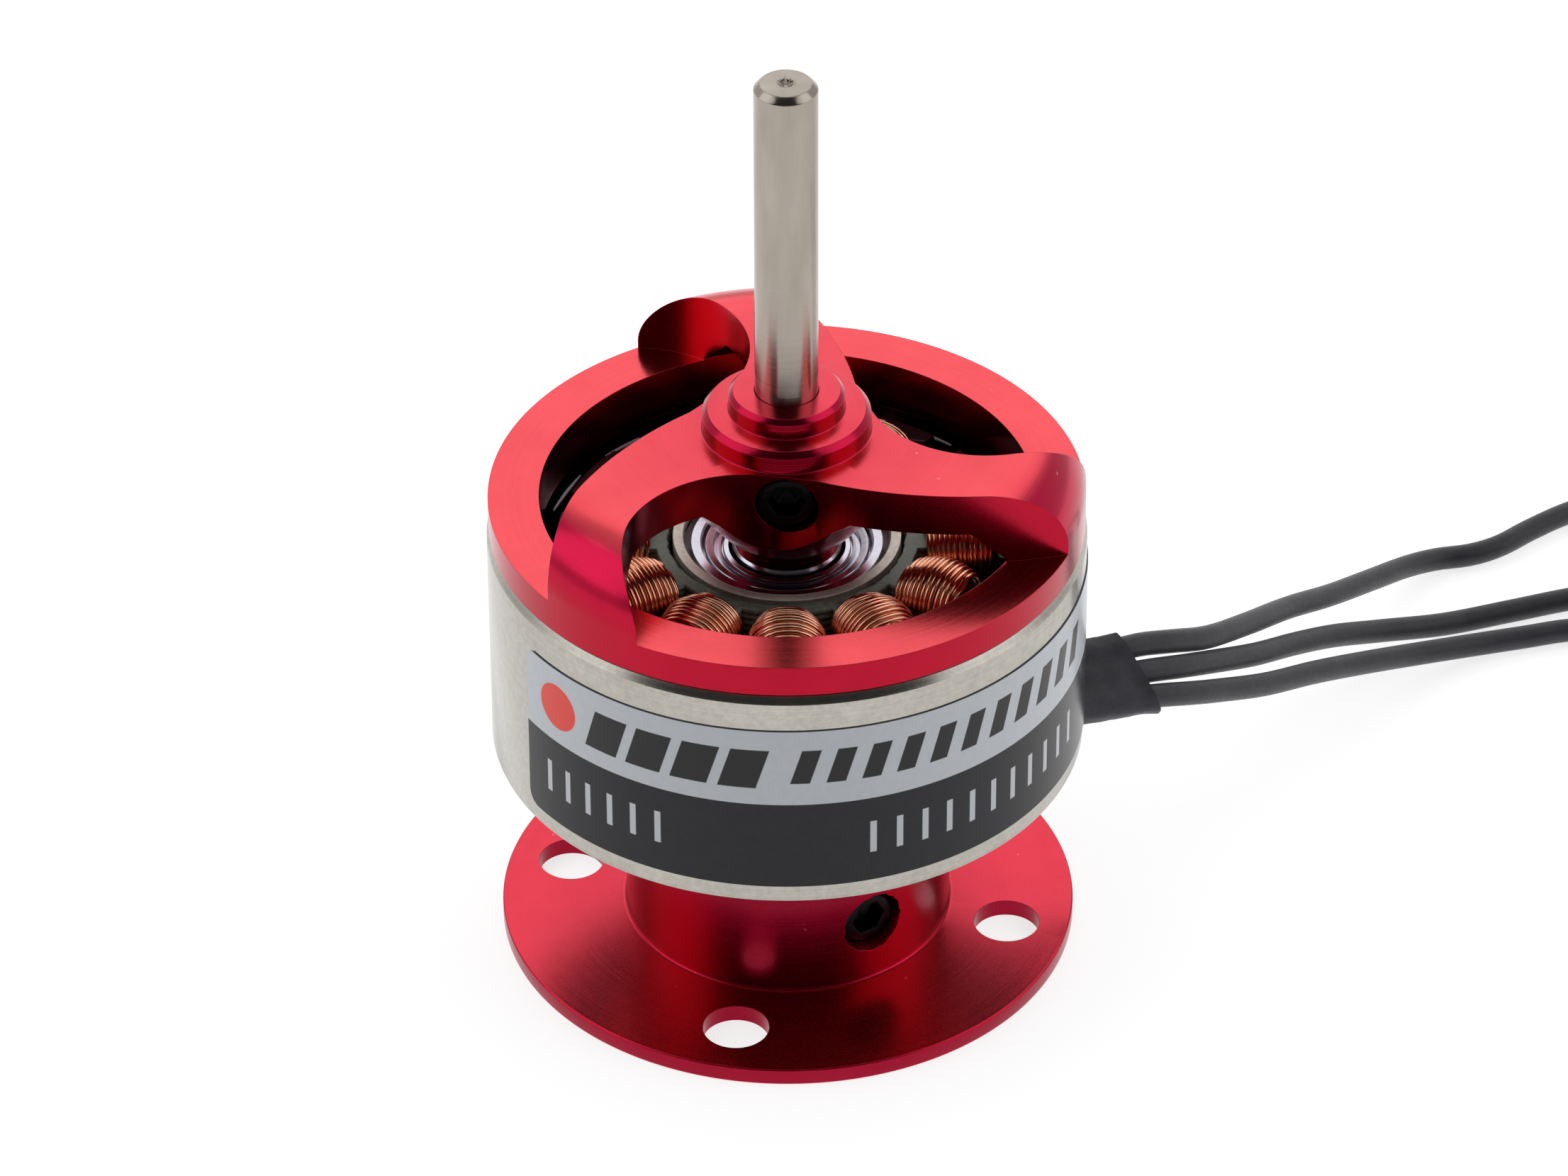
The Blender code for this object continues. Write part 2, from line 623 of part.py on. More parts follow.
def make_bell_cap():
    profile = [
        (SMALL_STEP[0] - STEP_EDGE, SMALL_STEP[1]), (SMALL_STEP[0], SMALL_STEP[1] - STEP_EDGE),
        (SMALL_STEP[0], BIG_STEP[1] + STEP_FILLET), (SMALL_STEP[0] + STEP_FILLET, BIG_STEP[1]),
        (BIG_STEP[0] - STEP_EDGE, BIG_STEP[1]), (BIG_STEP[0], BIG_STEP[1] - STEP_EDGE),
        (BIG_STEP[0], SPOKE_TOP + STEP_FILLET), (BIG_STEP[0] + STEP_FILLET, SPOKE_TOP),
    ]
    profile += shoulder_points(7)
    profile += [
        (CAP_R, CAP_RIM_BOTTOM), (SPIGOT_R, CAP_RIM_BOTTOM), (SPIGOT_R, SPIGOT_BOTTOM),
        (CAP_RING_BORE_R, SPIGOT_BOTTOM), (CAP_RING_BORE_R, UNDER_CORNER[1]),
        (UNDER_CORNER[0], SPOKE_UNDER), (BOSS_TOP_R, SPOKE_UNDER), (BOSS_TIP_R, BOSS_TIP_Z),
        (BORE_R, BOSS_TIP_Z), (BORE_R, SMALL_STEP[1]),
    ]
    cap = turned("bell_cap", profile, ROTOR_STEPS)
    for i in range(POCKETS):
        high = flat_solid("pocket_high_%d" % (i + 1), [pocket_outline(POCKET_RUNOUT_R)],
                          CAP_RING_TOP, SMALL_STEP[1] + 2)
        deep = flat_solid("pocket_deep_%d" % (i + 1), [pocket_outline(POCKET_DEEP_R)],
                          POCKET_DEEP_Z, CAP_RING_TOP + 1)
        for cutter in (high, deep):
            cutter.rotation_euler = (0, 0, math.radians(360 / POCKETS * i))
            subtract(cap, as_cutter(cutter))
    hole = round_bar("hub_screw_hole", SCREW_HOLE_R, BOSS_TOP_R, 20)
    point_outwards(hole, HUB_SCREW_DEG, BORE_R / 2, HUB_SCREW_Z)
    subtract(cap, as_cutter(hole))
    return finish(cap, "red_anodised")


def make_shaft():
    profile = [
        (0.0, SHAFT_TOP - CENTRE_MARK_DEPTH), (CENTRE_MARK_R, SHAFT_TOP),
        (SHAFT_R - SHAFT_CHAMFER, SHAFT_TOP), (SHAFT_R, SHAFT_TOP - SHAFT_CHAMFER),
        (SHAFT_R, CLIP_GROOVE[1]), (CLIP_GROOVE_R, CLIP_GROOVE[1]),
        (CLIP_GROOVE_R, CLIP_GROOVE[0]), (SHAFT_R, CLIP_GROOVE[0]),
        (SHAFT_R, SHAFT_BOTTOM + SHAFT_CHAMFER), (SHAFT_R - SHAFT_CHAMFER, SHAFT_BOTTOM), (0.0, SHAFT_BOTTOM),
    ]
    return finish(turned("shaft", profile, SHAFT_STEPS, closed=False), "shaft_steel")


def make_retainers():
    """The thin washer and the open clip that hold the shaft in under the lower bearing."""
    washer = turned("shaft_washer", [(WASHER_R, WASHER_Z[1]), (WASHER_R, WASHER_Z[0]),
                                     (BORE_R, WASHER_Z[0]), (BORE_R, WASHER_Z[1])], SHAFT_STEPS)
    finish(washer, "shaft_steel")
    mouth_deg = 42
    neck = CLIP_GROOVE_R + 0.08
    outline = arc((0, 0), CLIP_R, mouth_deg, 360 - mouth_deg, 17)
    outline += arc((0, 0), neck, 360 - mouth_deg, mouth_deg, 13)
    finish(flat_solid("retaining_clip", [outline], *CLIP_Z), "black_oxide")


# ---------------------------------------------------------------- leads

def smooth_route(route, step):
    """Evenly spaced points on a Catmull-Rom curve through the route."""
    points = [Vector(p) for p in route]
    padded = [2 * points[0] - points[1]] + points + [2 * points[-1] - points[-2]]
    dense = []
    for i in range(1, len(padded) - 2):
        p0, p1, p2, p3 = padded[i - 1:i + 3]
        for k in range(12):
            t = k / 12
            dense.append(0.5 * (2 * p1 + (p2 - p0) * t + (2 * p0 - 5 * p1 + 4 * p2 - p3) * t * t
                                + (3 * p1 - p0 - 3 * p2 + p3) * t * t * t))
    dense.append(points[-1])
    travelled = [0.0]
    for a, b in zip(dense, dense[1:]):
        travelled.append(travelled[-1] + (b - a).length)
    count = max(2, round(travelled[-1] / step))
    even = []
    j = 0
    for i in range(count + 1):
        want = travelled[-1] * i / count
        while j < len(dense) - 2 and travelled[j + 1] < want:
            j += 1
        span = travelled[j + 1] - travelled[j]
        even.append(dense[j].lerp(dense[j + 1], (want - travelled[j]) / span))
    return even


def make_leads():
    for letter, route in LEAD_ROUTES.items():
        curve = bpy.data.curves.new("lead_" + letter, "CURVE")
        curve.dimensions = "3D"
        curve.bevel_depth = LEAD_R * MM
        curve.bevel_resolution = 2
        curve.use_fill_caps = True
        points = smooth_route(route, LEAD_POINT_STEP)
        spline = curve.splines.new("POLY")
        spline.points.add(len(points) - 1)
        for knot, point in zip(spline.points, points):
            knot.co = (*(point * MM), 1.0)
        finish(curve_to_mesh("lead_" + letter, curve), "lead_silicone")
        make_connector("connector_" + letter, points[-1], (points[-1] - points[-3]).normalized())


def make_connector(name, lead_end, direction):
    """A bullet contact: solder cup, collar and sprung pin, lying level in line with its lead."""
    r = CONNECTOR_R
    length = CONNECTOR_LENGTH
    profile = [
        (0.0, length), (0.55, length), (0.85, length - 0.5), (0.98, length - 1.9), (0.98, length - 3.0),
        (0.8, length - 5.2), (0.8, length - 6.0), (r, length - 6.3), (r, length - 7.4), (1.05, length - 7.6),
        (1.05, length - 8.2), (r, length - 8.4), (r, 0.15), (r - 0.15, 0.0), (0.0, 0.0),
    ]
    contact = turned(name, profile, CONNECTOR_STEPS, closed=False)
    level = Vector((direction.x, direction.y, 0)).normalized()
    start = Vector((lead_end.x, lead_end.y, r + 0.02)) + level * FACE_GAP
    turn = Vector((0, 0, 1)).rotation_difference(level).to_matrix().to_4x4()
    contact.matrix_world = Matrix.Translation(start * MM) @ turn
    finish(contact, "gold_contact")


def make_sleeve():
    """Flat shrink tube round the three leads: it leaves level under the can and twists to face outwards."""
    sweep = Vector((*polar(1.0, SLEEVE_DEG), 0.0))
    sideways = Vector((-sweep.y, sweep.x, 0.0))
    section = rounded_box(SLEEVE_HALF_WIDTH, SLEEVE_HALF_THICK, SLEEVE_HALF_THICK - 0.05, 4)
    work = bmesh.new()
    rings = []
    last = len(SLEEVE_ROUTE) - 1
    for i, (radius, height, tilt) in enumerate(SLEEVE_ROUTE):
        tilt = math.radians(tilt)
        wide = sideways * math.cos(tilt) + Vector((0, 0, 1)) * math.sin(tilt)
        thick = -sideways * math.sin(tilt) + Vector((0, 0, 1)) * math.cos(tilt)
        ring = []
        for across, over in section:
            skew = -SLEEVE_END_SKEW * across / SLEEVE_HALF_WIDTH if i == last else 0.0
            point = sweep * (radius + skew) + Vector((0, 0, height)) + wide * across + thick * over
            ring.append(work.verts.new(point * MM))
        rings.append(ring)
    count = len(section)
    for near, far in zip(rings, rings[1:]):
        for k in range(count):
            work.faces.new((near[k], near[(k + 1) % count], far[(k + 1) % count], far[k]))
    work.faces.new(rings[0])
    work.faces.new(rings[-1])
    bmesh.ops.recalc_face_normals(work, faces=work.faces)
    mesh = bpy.data.meshes.new("lead_sleeve")
    work.to_mesh(mesh)
    work.free()
    return finish(bpy.data.objects.new("lead_sleeve", mesh), "shrink_sleeve")


clear_scene()
MODEL = make_collection(NAME)
CUTTERS = make_collection(NAME + "_cutters")
MATERIALS = make_materials()

make_mount()
make_set_screw("mount_set_screw", MOUNT_SCREW_DEG, MOUNT_SCREW_R_SPAN, MOUNT_SCREW_Z)
make_bearing_tube()
make_bearing("upper", UPPER_BEARING_Z)
make_bearing("lower", LOWER_BEARING_Z)
make_stator_core()
make_coils()
make_flux_ring()
make_magnets()
make_label()
make_bell_cap()
make_set_screw("hub_set_screw", HUB_SCREW_DEG, HUB_SCREW_R_SPAN, HUB_SCREW_Z)
make_shaft()
make_retainers()
make_sleeve()
make_leads()
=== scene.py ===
"""Looks of the brushless outrunner motor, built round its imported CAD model.

Lengths are written in millimetres and turned into metres by MM where a mesh is made.
Names ending in _DEG are azimuths about the shaft: 0 is +X, 270 faces the camera.
"""

import math
import random

import bmesh
import bpy
import numpy as np
from mathutils import Matrix, Vector, noise


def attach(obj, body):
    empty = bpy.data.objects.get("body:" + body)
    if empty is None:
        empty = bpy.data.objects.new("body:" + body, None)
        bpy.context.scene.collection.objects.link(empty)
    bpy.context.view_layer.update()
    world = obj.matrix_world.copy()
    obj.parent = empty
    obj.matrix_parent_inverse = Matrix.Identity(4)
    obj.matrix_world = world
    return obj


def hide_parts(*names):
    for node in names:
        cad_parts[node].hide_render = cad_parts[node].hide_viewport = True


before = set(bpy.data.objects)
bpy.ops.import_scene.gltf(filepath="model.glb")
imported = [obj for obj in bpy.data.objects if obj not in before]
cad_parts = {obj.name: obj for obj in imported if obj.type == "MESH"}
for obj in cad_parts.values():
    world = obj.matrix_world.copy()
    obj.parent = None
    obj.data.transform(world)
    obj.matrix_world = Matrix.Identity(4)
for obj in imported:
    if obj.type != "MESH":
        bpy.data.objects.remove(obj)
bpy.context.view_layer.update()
MM = 0.001


# ==== camera, world, floor

def look_matrix(position, yaw, pitch, roll):
    """Camera placing: yaw turns it from +Y, pitch is how far it looks down, roll leans it."""
    ahead = Vector((math.sin(yaw) * math.cos(pitch), math.cos(yaw) * math.cos(pitch), -math.sin(pitch)))
    right = ahead.cross(Vector((0, 0, 1))).normalized()
    up = right.cross(ahead)
    c, s = math.cos(roll), math.sin(roll)
    right, up = c * right + s * up, -s * right + c * up
    turn = Matrix((right, up, -ahead)).transposed().to_4x4()
    return Matrix.Translation(Vector(position) * MM) @ turn


CAMERA_PLACE = (0.0, -299.516, 234.739)
CAMERA_YAW, CAMERA_PITCH, CAMERA_ROLL = -0.0005, 0.6238, -0.003      # radians
CAMERA_SENSOR = 36.0
CAMERA_LENS = 176.95

camera_data = bpy.data.cameras.new("camera")
camera_data.sensor_width = CAMERA_SENSOR
camera_data.lens = CAMERA_LENS
camera_data.clip_start = 0.01
camera_data.clip_end = 20.0
camera = bpy.data.objects.new("camera", camera_data)
bpy.context.scene.collection.objects.link(camera)
camera.matrix_world = look_matrix(CAMERA_PLACE, CAMERA_YAW, CAMERA_PITCH, CAMERA_ROLL)
bpy.context.scene.camera = camera
bpy.context.scene.view_settings.view_transform = "Standard"


# ==== node helpers

NOISE_SPAN = (0.35, 0.65)      # the part of 0 to 1 that a noise node mostly fills
MATERIALS = {}


class Shader:
    """A material's node tree with short calls for the nodes used here. Its lengths are metres."""

    def __init__(self, name):
        self.material = bpy.data.materials.new(name)
        self.material.use_nodes = True
        self.tree = self.material.node_tree
        self.bsdf = self.tree.nodes["Principled BSDF"]
        self.coords = self.tree.nodes.new("ShaderNodeTexCoord").outputs["Object"]
        MATERIALS[name] = self.material

    def node(self, kind, **settings):
        made = self.tree.nodes.new(kind)
        for key, value in settings.items():
            setattr(made, key, value)
        return made

    def link(self, source, target):
        self.tree.links.new(source, target)

    def put(self, socket, value):
        if isinstance(value, bpy.types.NodeSocket):
            self.link(value, socket)
        else:
            socket.default_value = value

    def fill(self, node, **values):
        """Values or links for a node's inputs, with _ for a space in their names."""
        for key, value in values.items():
            self.put(node.inputs[key.replace("_", " ")], value)

    def set(self, **values):
        self.fill(self.bsdf, **values)

    def math(self, operation, a, b=0.0):
        made = self.node("ShaderNodeMath", operation=operation)
        self.put(made.inputs[0], a)
        self.put(made.inputs[1], b)
        return made.outputs[0]

    def times(self, a, b):
        return self.math("MULTIPLY", a, b)

    def weighed(self, first, second, share):
        """That share of the first value with the rest of the second."""
        return self.math("ADD", self.times(first, share), self.times(second, 1 - share))

    def scaled(self, x, y, z):
        """The object's coordinates, each with its own factor."""
        made = self.node("ShaderNodeMapping")
        self.fill(made, Scale=(x, y, z), Vector=self.coords)
        return made.outputs[0]

    def noise(self, scale, detail=3.0, rough=0.55, vector=None):
        made = self.node("ShaderNodeTexNoise")
        self.fill(made, Scale=scale, Detail=detail, Roughness=rough, Vector=vector or self.coords)
        return made.outputs["Fac"]

    def spread(self, value, low, high, to_low=0.0, to_high=1.0):
        """Value from low..high to to_low..to_high, held at the ends."""
        made = self.node("ShaderNodeMapRange")
        self.fill(made, Value=value, From_Min=low, From_Max=high, To_Min=to_low, To_Max=to_high)
        return made.outputs["Result"]

    def even(self, value, to_low=0.0, to_high=1.0):
        """A noise value spread over to_low..to_high."""
        return self.spread(value, *NOISE_SPAN, to_low, to_high)

    def mix(self, amount, a, b):
        made = self.node("ShaderNodeMix", data_type="RGBA")
        self.put(made.inputs["Factor"], amount)
        self.put(made.inputs[6], a if isinstance(a, bpy.types.NodeSocket) else (*a, 1.0))
        self.put(made.inputs[7], b if isinstance(b, bpy.types.NodeSocket) else (*b, 1.0))
        return made.outputs[2]

    def tinted(self, colour, tint):
        """The colour multiplied by a tint."""
        made = self.mix(1.0, colour, tint)
        made.node.blend_type = "MULTIPLY"
        return made

    def axis_polar(self):
        """Radius from the shaft axis, azimuth in radians and height, in object space."""
        split = self.node("ShaderNodeSeparateXYZ")
        self.link(self.coords, split.inputs[0])
        x, y, z = split.outputs
        radius = self.math("SQRT", self.math("ADD", self.times(x, x), self.times(y, y)))
        return radius, self.math("ARCTAN2", y, x), z

    def lathe_lines(self, scale):
        """Noise that changes only with the radius and the height, as a lathe's marks do."""
        radius, _, z = self.axis_polar()
        place = self.node("ShaderNodeCombineXYZ")
        self.link(self.times(radius, scale), place.inputs[0])
        self.link(self.times(z, scale), place.inputs[1])
        return self.noise(1.0, 4.0, 0.7, place.outputs[0])

    def round_grain(self, anisotropy):
        """Highlights drawn out by marks that run round the shaft axis."""
        tangent = self.node("ShaderNodeTangent", direction_type="RADIAL", axis="Z")
        self.set(Tangent=tangent.outputs[0], Anisotropic=anisotropy, Anisotropic_Rotation=0.25)

    def bump(self, height, strength, distance, normal=None):
        made = self.node("ShaderNodeBump")
        self.fill(made, Strength=strength, Distance=distance, Height=height)
        if normal is not None:
            self.fill(made, Normal=normal)
        return made.outputs["Normal"]

    def soft_edges(self, radius):
        made = self.node("ShaderNodeBevel", samples=4)
        self.fill(made, Radius=radius)
        return made.outputs["Normal"]


# ==== materials

def turned_metal(name, light, dark, rough, anisotropy, line_scale, line_strength, edge, grain=0.12):
    """Metal with fine lathe lines round the shaft axis, colour drift and specks."""
    s = Shader(name)
    lines = s.lathe_lines(line_scale)
    drift = s.noise(420.0, 3.0)
    specks = s.noise(2600.0, 3.0, 0.7)
    fine = s.noise(9000.0, 2.0, 0.6)
    tone = s.math("ADD", s.times(drift, 0.2), s.times(lines, 0.4))
    tone = s.math("ADD", tone, s.times(specks, 0.4))
    s.set(Base_Color=s.mix(s.spread(tone, 0.36, 0.64), dark, light), Metallic=1.0)
    s.set(Roughness=s.even(s.weighed(lines, fine, 0.5), *rough))
    s.round_grain(anisotropy)
    normal = s.bump(lines, line_strength, 0.00002, s.soft_edges(edge))
    s.set(Normal=s.bump(fine, grain, 0.000004, normal))


# Painted shade laid over the red faces near the hub.
HUB_SHADE_TINT = (0.87, 0.62, 0.80)
DRIFT_TINT = (0.88, 0.80, 0.82)
SPECK_COLOUR = (0.95, 0.45, 0.42)


def anodised(name, wall_shade, slope_shading, top, rough):
    """Dyed aluminium with light and shade painted by facing: painted shade on upright walls, pinker painted
    shading on slopes, painted light on level satin faces.
    """
    s = Shader(name)
    radius = s.axis_polar()[0]
    split = s.node("ShaderNodeSeparateXYZ")
    s.link(s.node("ShaderNodeTexCoord").outputs["Normal"], split.inputs[0])
    level = s.math("ABSOLUTE", split.outputs[2])
    lines = s.lathe_lines(9000.0)
    drift = s.noise(300.0, 3.0)
    fine = s.noise(9000.0, 2.0, 0.6)
    speck = s.noise(1700.0, 1.0)
    # Painted light and shade: the colour follows how the face is turned, darkest on walls, brightest on level
    # faces.
    colour = s.mix(s.spread(level, 0.05, 0.6), wall_shade, slope_shading)
    colour = s.mix(s.spread(level, 0.84, 0.97), colour, top)
    # Painted shade: deepest within 3.5 mm of the axis, gone by 12.5 mm out.
    colour = s.mix(s.spread(radius, 0.0035, 0.0125), s.tinted(colour, HUB_SHADE_TINT), colour)
    colour = s.mix(s.even(s.weighed(drift, lines, 0.6)), s.tinted(colour, DRIFT_TINT), colour)
    s.set(Base_Color=s.mix(s.spread(speck, 0.80, 0.82, 0.0, 0.5), colour, SPECK_COLOUR), Metallic=1.0)
    s.set(Roughness=s.even(s.weighed(lines, fine, 0.5), *rough), Coat_Weight=0.12, Coat_Roughness=0.15)
    s.round_grain(0.45)
    normal = s.bump(lines, 0.2, 0.00002, s.soft_edges(0.00005))
    s.set(Normal=s.bump(fine, 0.1, 0.000004, normal))


def plain_metal(name, light, dark, rough):
    """Metal with an even fine grain."""
    s = Shader(name)
    grain = s.noise(2500.0, 4.0, 0.6)
    cloud = s.noise(2500.0 / 12, 2.0)
    s.set(Base_Color=s.mix(s.even(cloud), dark, light), Metallic=1.0, Roughness=s.even(grain, *rough))
    s.set(Normal=s.bump(grain, 0.15, 0.00001, s.soft_edges(0.00003)))


def make_shaft_steel():
    """Ground steel: fine rings round the bar, some lengthwise scratches and dull patches."""
    s = Shader("shaft_steel")
    rings = s.noise(1.0, 4.0, 0.7, s.scaled(300.0, 300.0, 14000.0))
    scratch = s.noise(1.0, 5.0, 0.75, s.scaled(9000.0, 9000.0, 260.0))
    patches = s.noise(1.0, 3.0, 0.55, s.scaled(700.0, 700.0, 160.0))
    deep = s.spread(scratch, 0.66, 0.76)
    colour = s.mix(s.spread(patches, 0.3, 0.72), (0.32, 0.280, 0.240), (0.42, 0.375, 0.33))
    s.set(Base_Color=s.mix(s.times(deep, 0.6), colour, (0.20, 0.18, 0.16)), Metallic=1.0)
    s.set(Roughness=s.even(s.weighed(rings, patches, 0.5), 0.13, 0.25))
    s.round_grain(0.55)
    normal = s.bump(rings, 0.06, 0.00001, s.soft_edges(0.00005))
    s.set(Normal=s.bump(scratch, 0.12, 0.00001, normal))


MAGNET_GLINT_R = (0.01162, 0.01159)      # metres, where the painted highlight starts and is whole
MAGNET_GLINT_Z = (0.02160, 0.02163)      # metres, likewise


def make_magnet_nickel():
    """Dull nickel made nearly black as painted shade, with a painted highlight along each block's inner upper
    edge.
    """
    s = Shader("magnet_nickel")
    radius, _, z = s.axis_polar()
    edge = s.times(s.spread(radius, *MAGNET_GLINT_R), s.spread(z, *MAGNET_GLINT_Z))
    grain = s.noise(2500.0, 4.0, 0.6)
    # Painted shade: the nickel is made nearly black.
    colour = s.mix(s.even(s.noise(200.0, 2.0)), (0.030, 0.030, 0.036), (0.060, 0.060, 0.070))
    # Painted highlight: near-white, less metallic metal along the inner upper edge.
    s.set(Base_Color=s.mix(edge, colour, (0.86, 0.86, 0.92)), Metallic=s.spread(edge, 0.0, 1.0, 1.0, 0.15))
    s.set(Roughness=s.even(grain, 0.25, 0.4), Normal=s.bump(grain, 0.15, 0.00001))


def make_copper():
    """Enamelled copper wire: warm metal under a thin glossy coat, with darker stretches."""
    s = Shader("copper_wire")
    cloud = s.noise(900.0, 3.0)
    fleck = s.noise(5200.0, 3.0)
    colour = s.mix(s.even(cloud), (0.74, 0.30, 0.17), (0.94, 0.47, 0.30))
    s.set(Base_Color=s.mix(s.spread(fleck, 0.66, 0.78, 0.0, 0.35), colour, (0.34, 0.11, 0.06)))
    s.set(Metallic=1.0, Roughness=s.even(fleck, 0.16, 0.24), Coat_Weight=0.35, Coat_Roughness=0.1)
    s.set(Normal=s.bump(fleck, 0.1, 0.00001))


HEAD_SHADE_R = (0.0097, 0.0100)      # metres: the painted shade on the tooth heads starts between these
SHEET_THICKNESS = 0.00035           # metres


def make_lamination():
    """Coated sheet stack: greenish dark coat on top, glossier tooth heads made near-black as painted shade,
    sheet lines on its sides.
    """
    s = Shader("lamination_coat")
    radius, _, z = s.axis_polar()
    shaded_head = s.spread(radius, *HEAD_SHADE_R)
    sheets = s.math("SINE", s.times(z, math.tau / SHEET_THICKNESS))
    coat = s.noise(1500.0, 4.0)
    speck = s.noise(6000.0, 3.0)
    colour = s.mix(s.even(coat), (0.085, 0.100, 0.080), (0.175, 0.190, 0.155))
    colour = s.mix(s.spread(speck, 0.62, 0.72, 0.0, 0.7), colour, (0.30, 0.31, 0.27))
    # Painted shade: the tooth heads are made near-black.
    s.set(Base_Color=s.mix(shaded_head, colour, (0.014, 0.014, 0.018)), Metallic=0.25)
    s.set(Roughness=s.times(s.even(coat, 0.34, 0.5), s.spread(shaded_head, 0.0, 1.0, 1.0, 0.45)))
    s.set(Normal=s.bump(coat, 0.3, 0.00002, s.bump(sheets, 0.5, 0.00005)))


def make_rubber(name, light, dark, rough):
    """Matte black skin with a soft unevenness and fine pores."""
    s = Shader(name)
    cloud = s.noise(500.0, 3.0)
    pores = s.noise(7000.0, 3.0)
    s.set(Base_Color=s.mix(s.even(cloud), dark, light), Roughness=s.even(pores, *rough))
    s.set(Specular_IOR_Level=0.42, Sheen_Weight=0.25, Sheen_Roughness=0.5)
    s.set(Normal=s.bump(pores, 0.3, 0.00001, s.bump(cloud, 0.35, 0.00012)))


LABEL_Z = (12.24, 21.34)
LABEL_SPLIT_Z = 17.07
LABEL_START_DEG = 211.5
LABEL_SWEEP_DEG = 210.0
LABEL_UNROLL_R = 14.4          # turns an azimuth into a length along the film
DOT_PLACE = (2.45, 19.15)      # along the film, height
DOT_R = 1.25
SLANT_FOOT_Z = 18.0
SLANT = 0.30                   # the bars' lean along the film for each millimetre of height
PRINT_SOFT = 0.02
PRINT_BLACK = (0.012, 0.012, 0.014)
PRINT_GREY = (0.52, 0.54, 0.57)


def make_label_film():
    """Printed film: a light band over a dark one, with a plain dot, slanted bars and two rows of ticks."""
    s = Shader("label_film")
    _, azimuth, z = s.axis_polar()
    from_start = s.math("SUBTRACT", azimuth, math.radians(LABEL_START_DEG))
    along = s.times(s.math("FLOORED_MODULO", from_start, math.tau), LABEL_UNROLL_R)
    height = s.times(z, 1000.0)
    fleck = s.noise(2500.0, 3.0)
    light = s.mix(s.spread(fleck, 0.3, 0.7), (0.50, 0.525, 0.56), (0.53, 0.555, 0.59))
    dark = s.mix(s.even(fleck), (0.006, 0.006, 0.009), (0.009, 0.009, 0.013))
    colour = s.mix(s.spread(height, LABEL_SPLIT_Z - 0.015, LABEL_SPLIT_Z + 0.015), dark, light)

    def between(value, low, high):
        """1 between the limits and 0 outside them."""
        rise = s.spread(value, low - PRINT_SOFT, low + PRINT_SOFT)
        return s.times(rise, s.spread(value, high + PRINT_SOFT, high - PRINT_SOFT))

    def stripes(value, pitch, width, start, end, low, high):
        """Bars of that width at that pitch, from start to end along the film and from low to high."""
        bars = between(s.math("FLOORED_MODULO", s.math("SUBTRACT", value, start), pitch), 0.02, width)
        inside = between(value, start - 0.01, end)
        return s.times(s.times(bars, between(height, low, high)), inside)

    across = s.math("SUBTRACT", along, DOT_PLACE[0])
    above = s.math("SUBTRACT", height, DOT_PLACE[1])
    squares = s.math("ADD", s.times(across, across), s.times(above, above))
    from_dot = s.math("SQRT", squares)
    colour = s.mix(s.spread(from_dot, DOT_R + 0.02, DOT_R - 0.02), colour, (0.78, 0.055, 0.035))
    lean = s.times(s.math("SUBTRACT", height, SLANT_FOOT_Z), SLANT)
    slanted = s.math("SUBTRACT", along, lean)
    colour = s.mix(stripes(slanted, 2.35, 1.85, 4.3, 13.6, SLANT_FOOT_Z, 20.2), colour, PRINT_BLACK)
    colour = s.mix(stripes(slanted, 1.7, 0.95, 14.7, 33.3, 18.3, 20.2), colour, PRINT_BLACK)
    for start, end in ((1.6, 9.4), (18.6, 33.0)):
        colour = s.mix(stripes(along, 1.32, 0.34, start, end, 13.9, 15.7), colour, PRINT_GREY)
    edge = s.spread(height, LABEL_Z[1] - 0.07, LABEL_Z[1] - 0.03)
    s.set(Base_Color=s.mix(edge, colour, (0.05, 0.05, 0.055)), Roughness=s.even(fleck, 0.23, 0.25))
    s.set(Specular_IOR_Level=0.28, Normal=s.bump(s.noise(160.0, 2.0), 0.06, 0.0001))


def make_materials():
    # The wall, slope and top colours are painted shade and light, set by how each face is turned.
    anodised("red_anodised", wall_shade=(0.44, 0.005, 0.026), slope_shading=(0.54, 0.006, 0.050),
             top=(0.84, 0.078, 0.096), rough=(0.16, 0.24))
    anodised("red_mount", wall_shade=(0.36, 0.004, 0.030), slope_shading=(0.56, 0.006, 0.035),
             top=(0.74, 0.038, 0.070), rough=(0.24, 0.32))
    turned_metal("nickel_steel", light=(0.50, 0.48, 0.435), dark=(0.36, 0.34, 0.295), rough=(0.15, 0.25),
                 anisotropy=0.35, line_scale=7000.0, line_strength=0.12, edge=0.00004)
    turned_metal("bearing_steel", light=(0.66, 0.64, 0.72), dark=(0.52, 0.50, 0.57), rough=(0.16, 0.21),
                 anisotropy=0.6, line_scale=6000.0, line_strength=0.12, edge=0.00003, grain=0.03)
    turned_metal("bare_aluminium", light=(0.74, 0.68, 0.61), dark=(0.50, 0.45, 0.40), rough=(0.46, 0.62),
                 anisotropy=0.3, line_scale=5000.0, line_strength=0.6, edge=0.00003)
    plain_metal("black_oxide", (0.016, 0.016, 0.018), (0.008, 0.008, 0.009), (0.32, 0.5))
    plain_metal("gold_contact", (0.95, 0.70, 0.30), (0.85, 0.60, 0.24), (0.14, 0.26))
    make_shaft_steel()
    make_magnet_nickel()
    make_copper()
    make_lamination()
    make_label_film()
    make_rubber("lead_silicone", (0.028, 0.027, 0.037), (0.017, 0.016, 0.023), (0.42, 0.58))
    make_rubber("shrink_sleeve", (0.036, 0.035, 0.048), (0.022, 0.021, 0.029), (0.5, 0.68))


# ==== shape helpers

FINE_STEPS = 256      # sides of the large turned pieces


def polar(radius, degrees):
    angle = math.radians(degrees)
    return (radius * math.cos(angle), radius * math.sin(angle))


def arc(centre, radius, start_deg, end_deg, count):
    """That many points on an arc, both ends included."""
    points = []
    for i in range(count):
        x, y = polar(radius, start_deg + (end_deg - start_deg) * i / (count - 1))
        points.append((centre[0] + x, centre[1] + y))
    return points


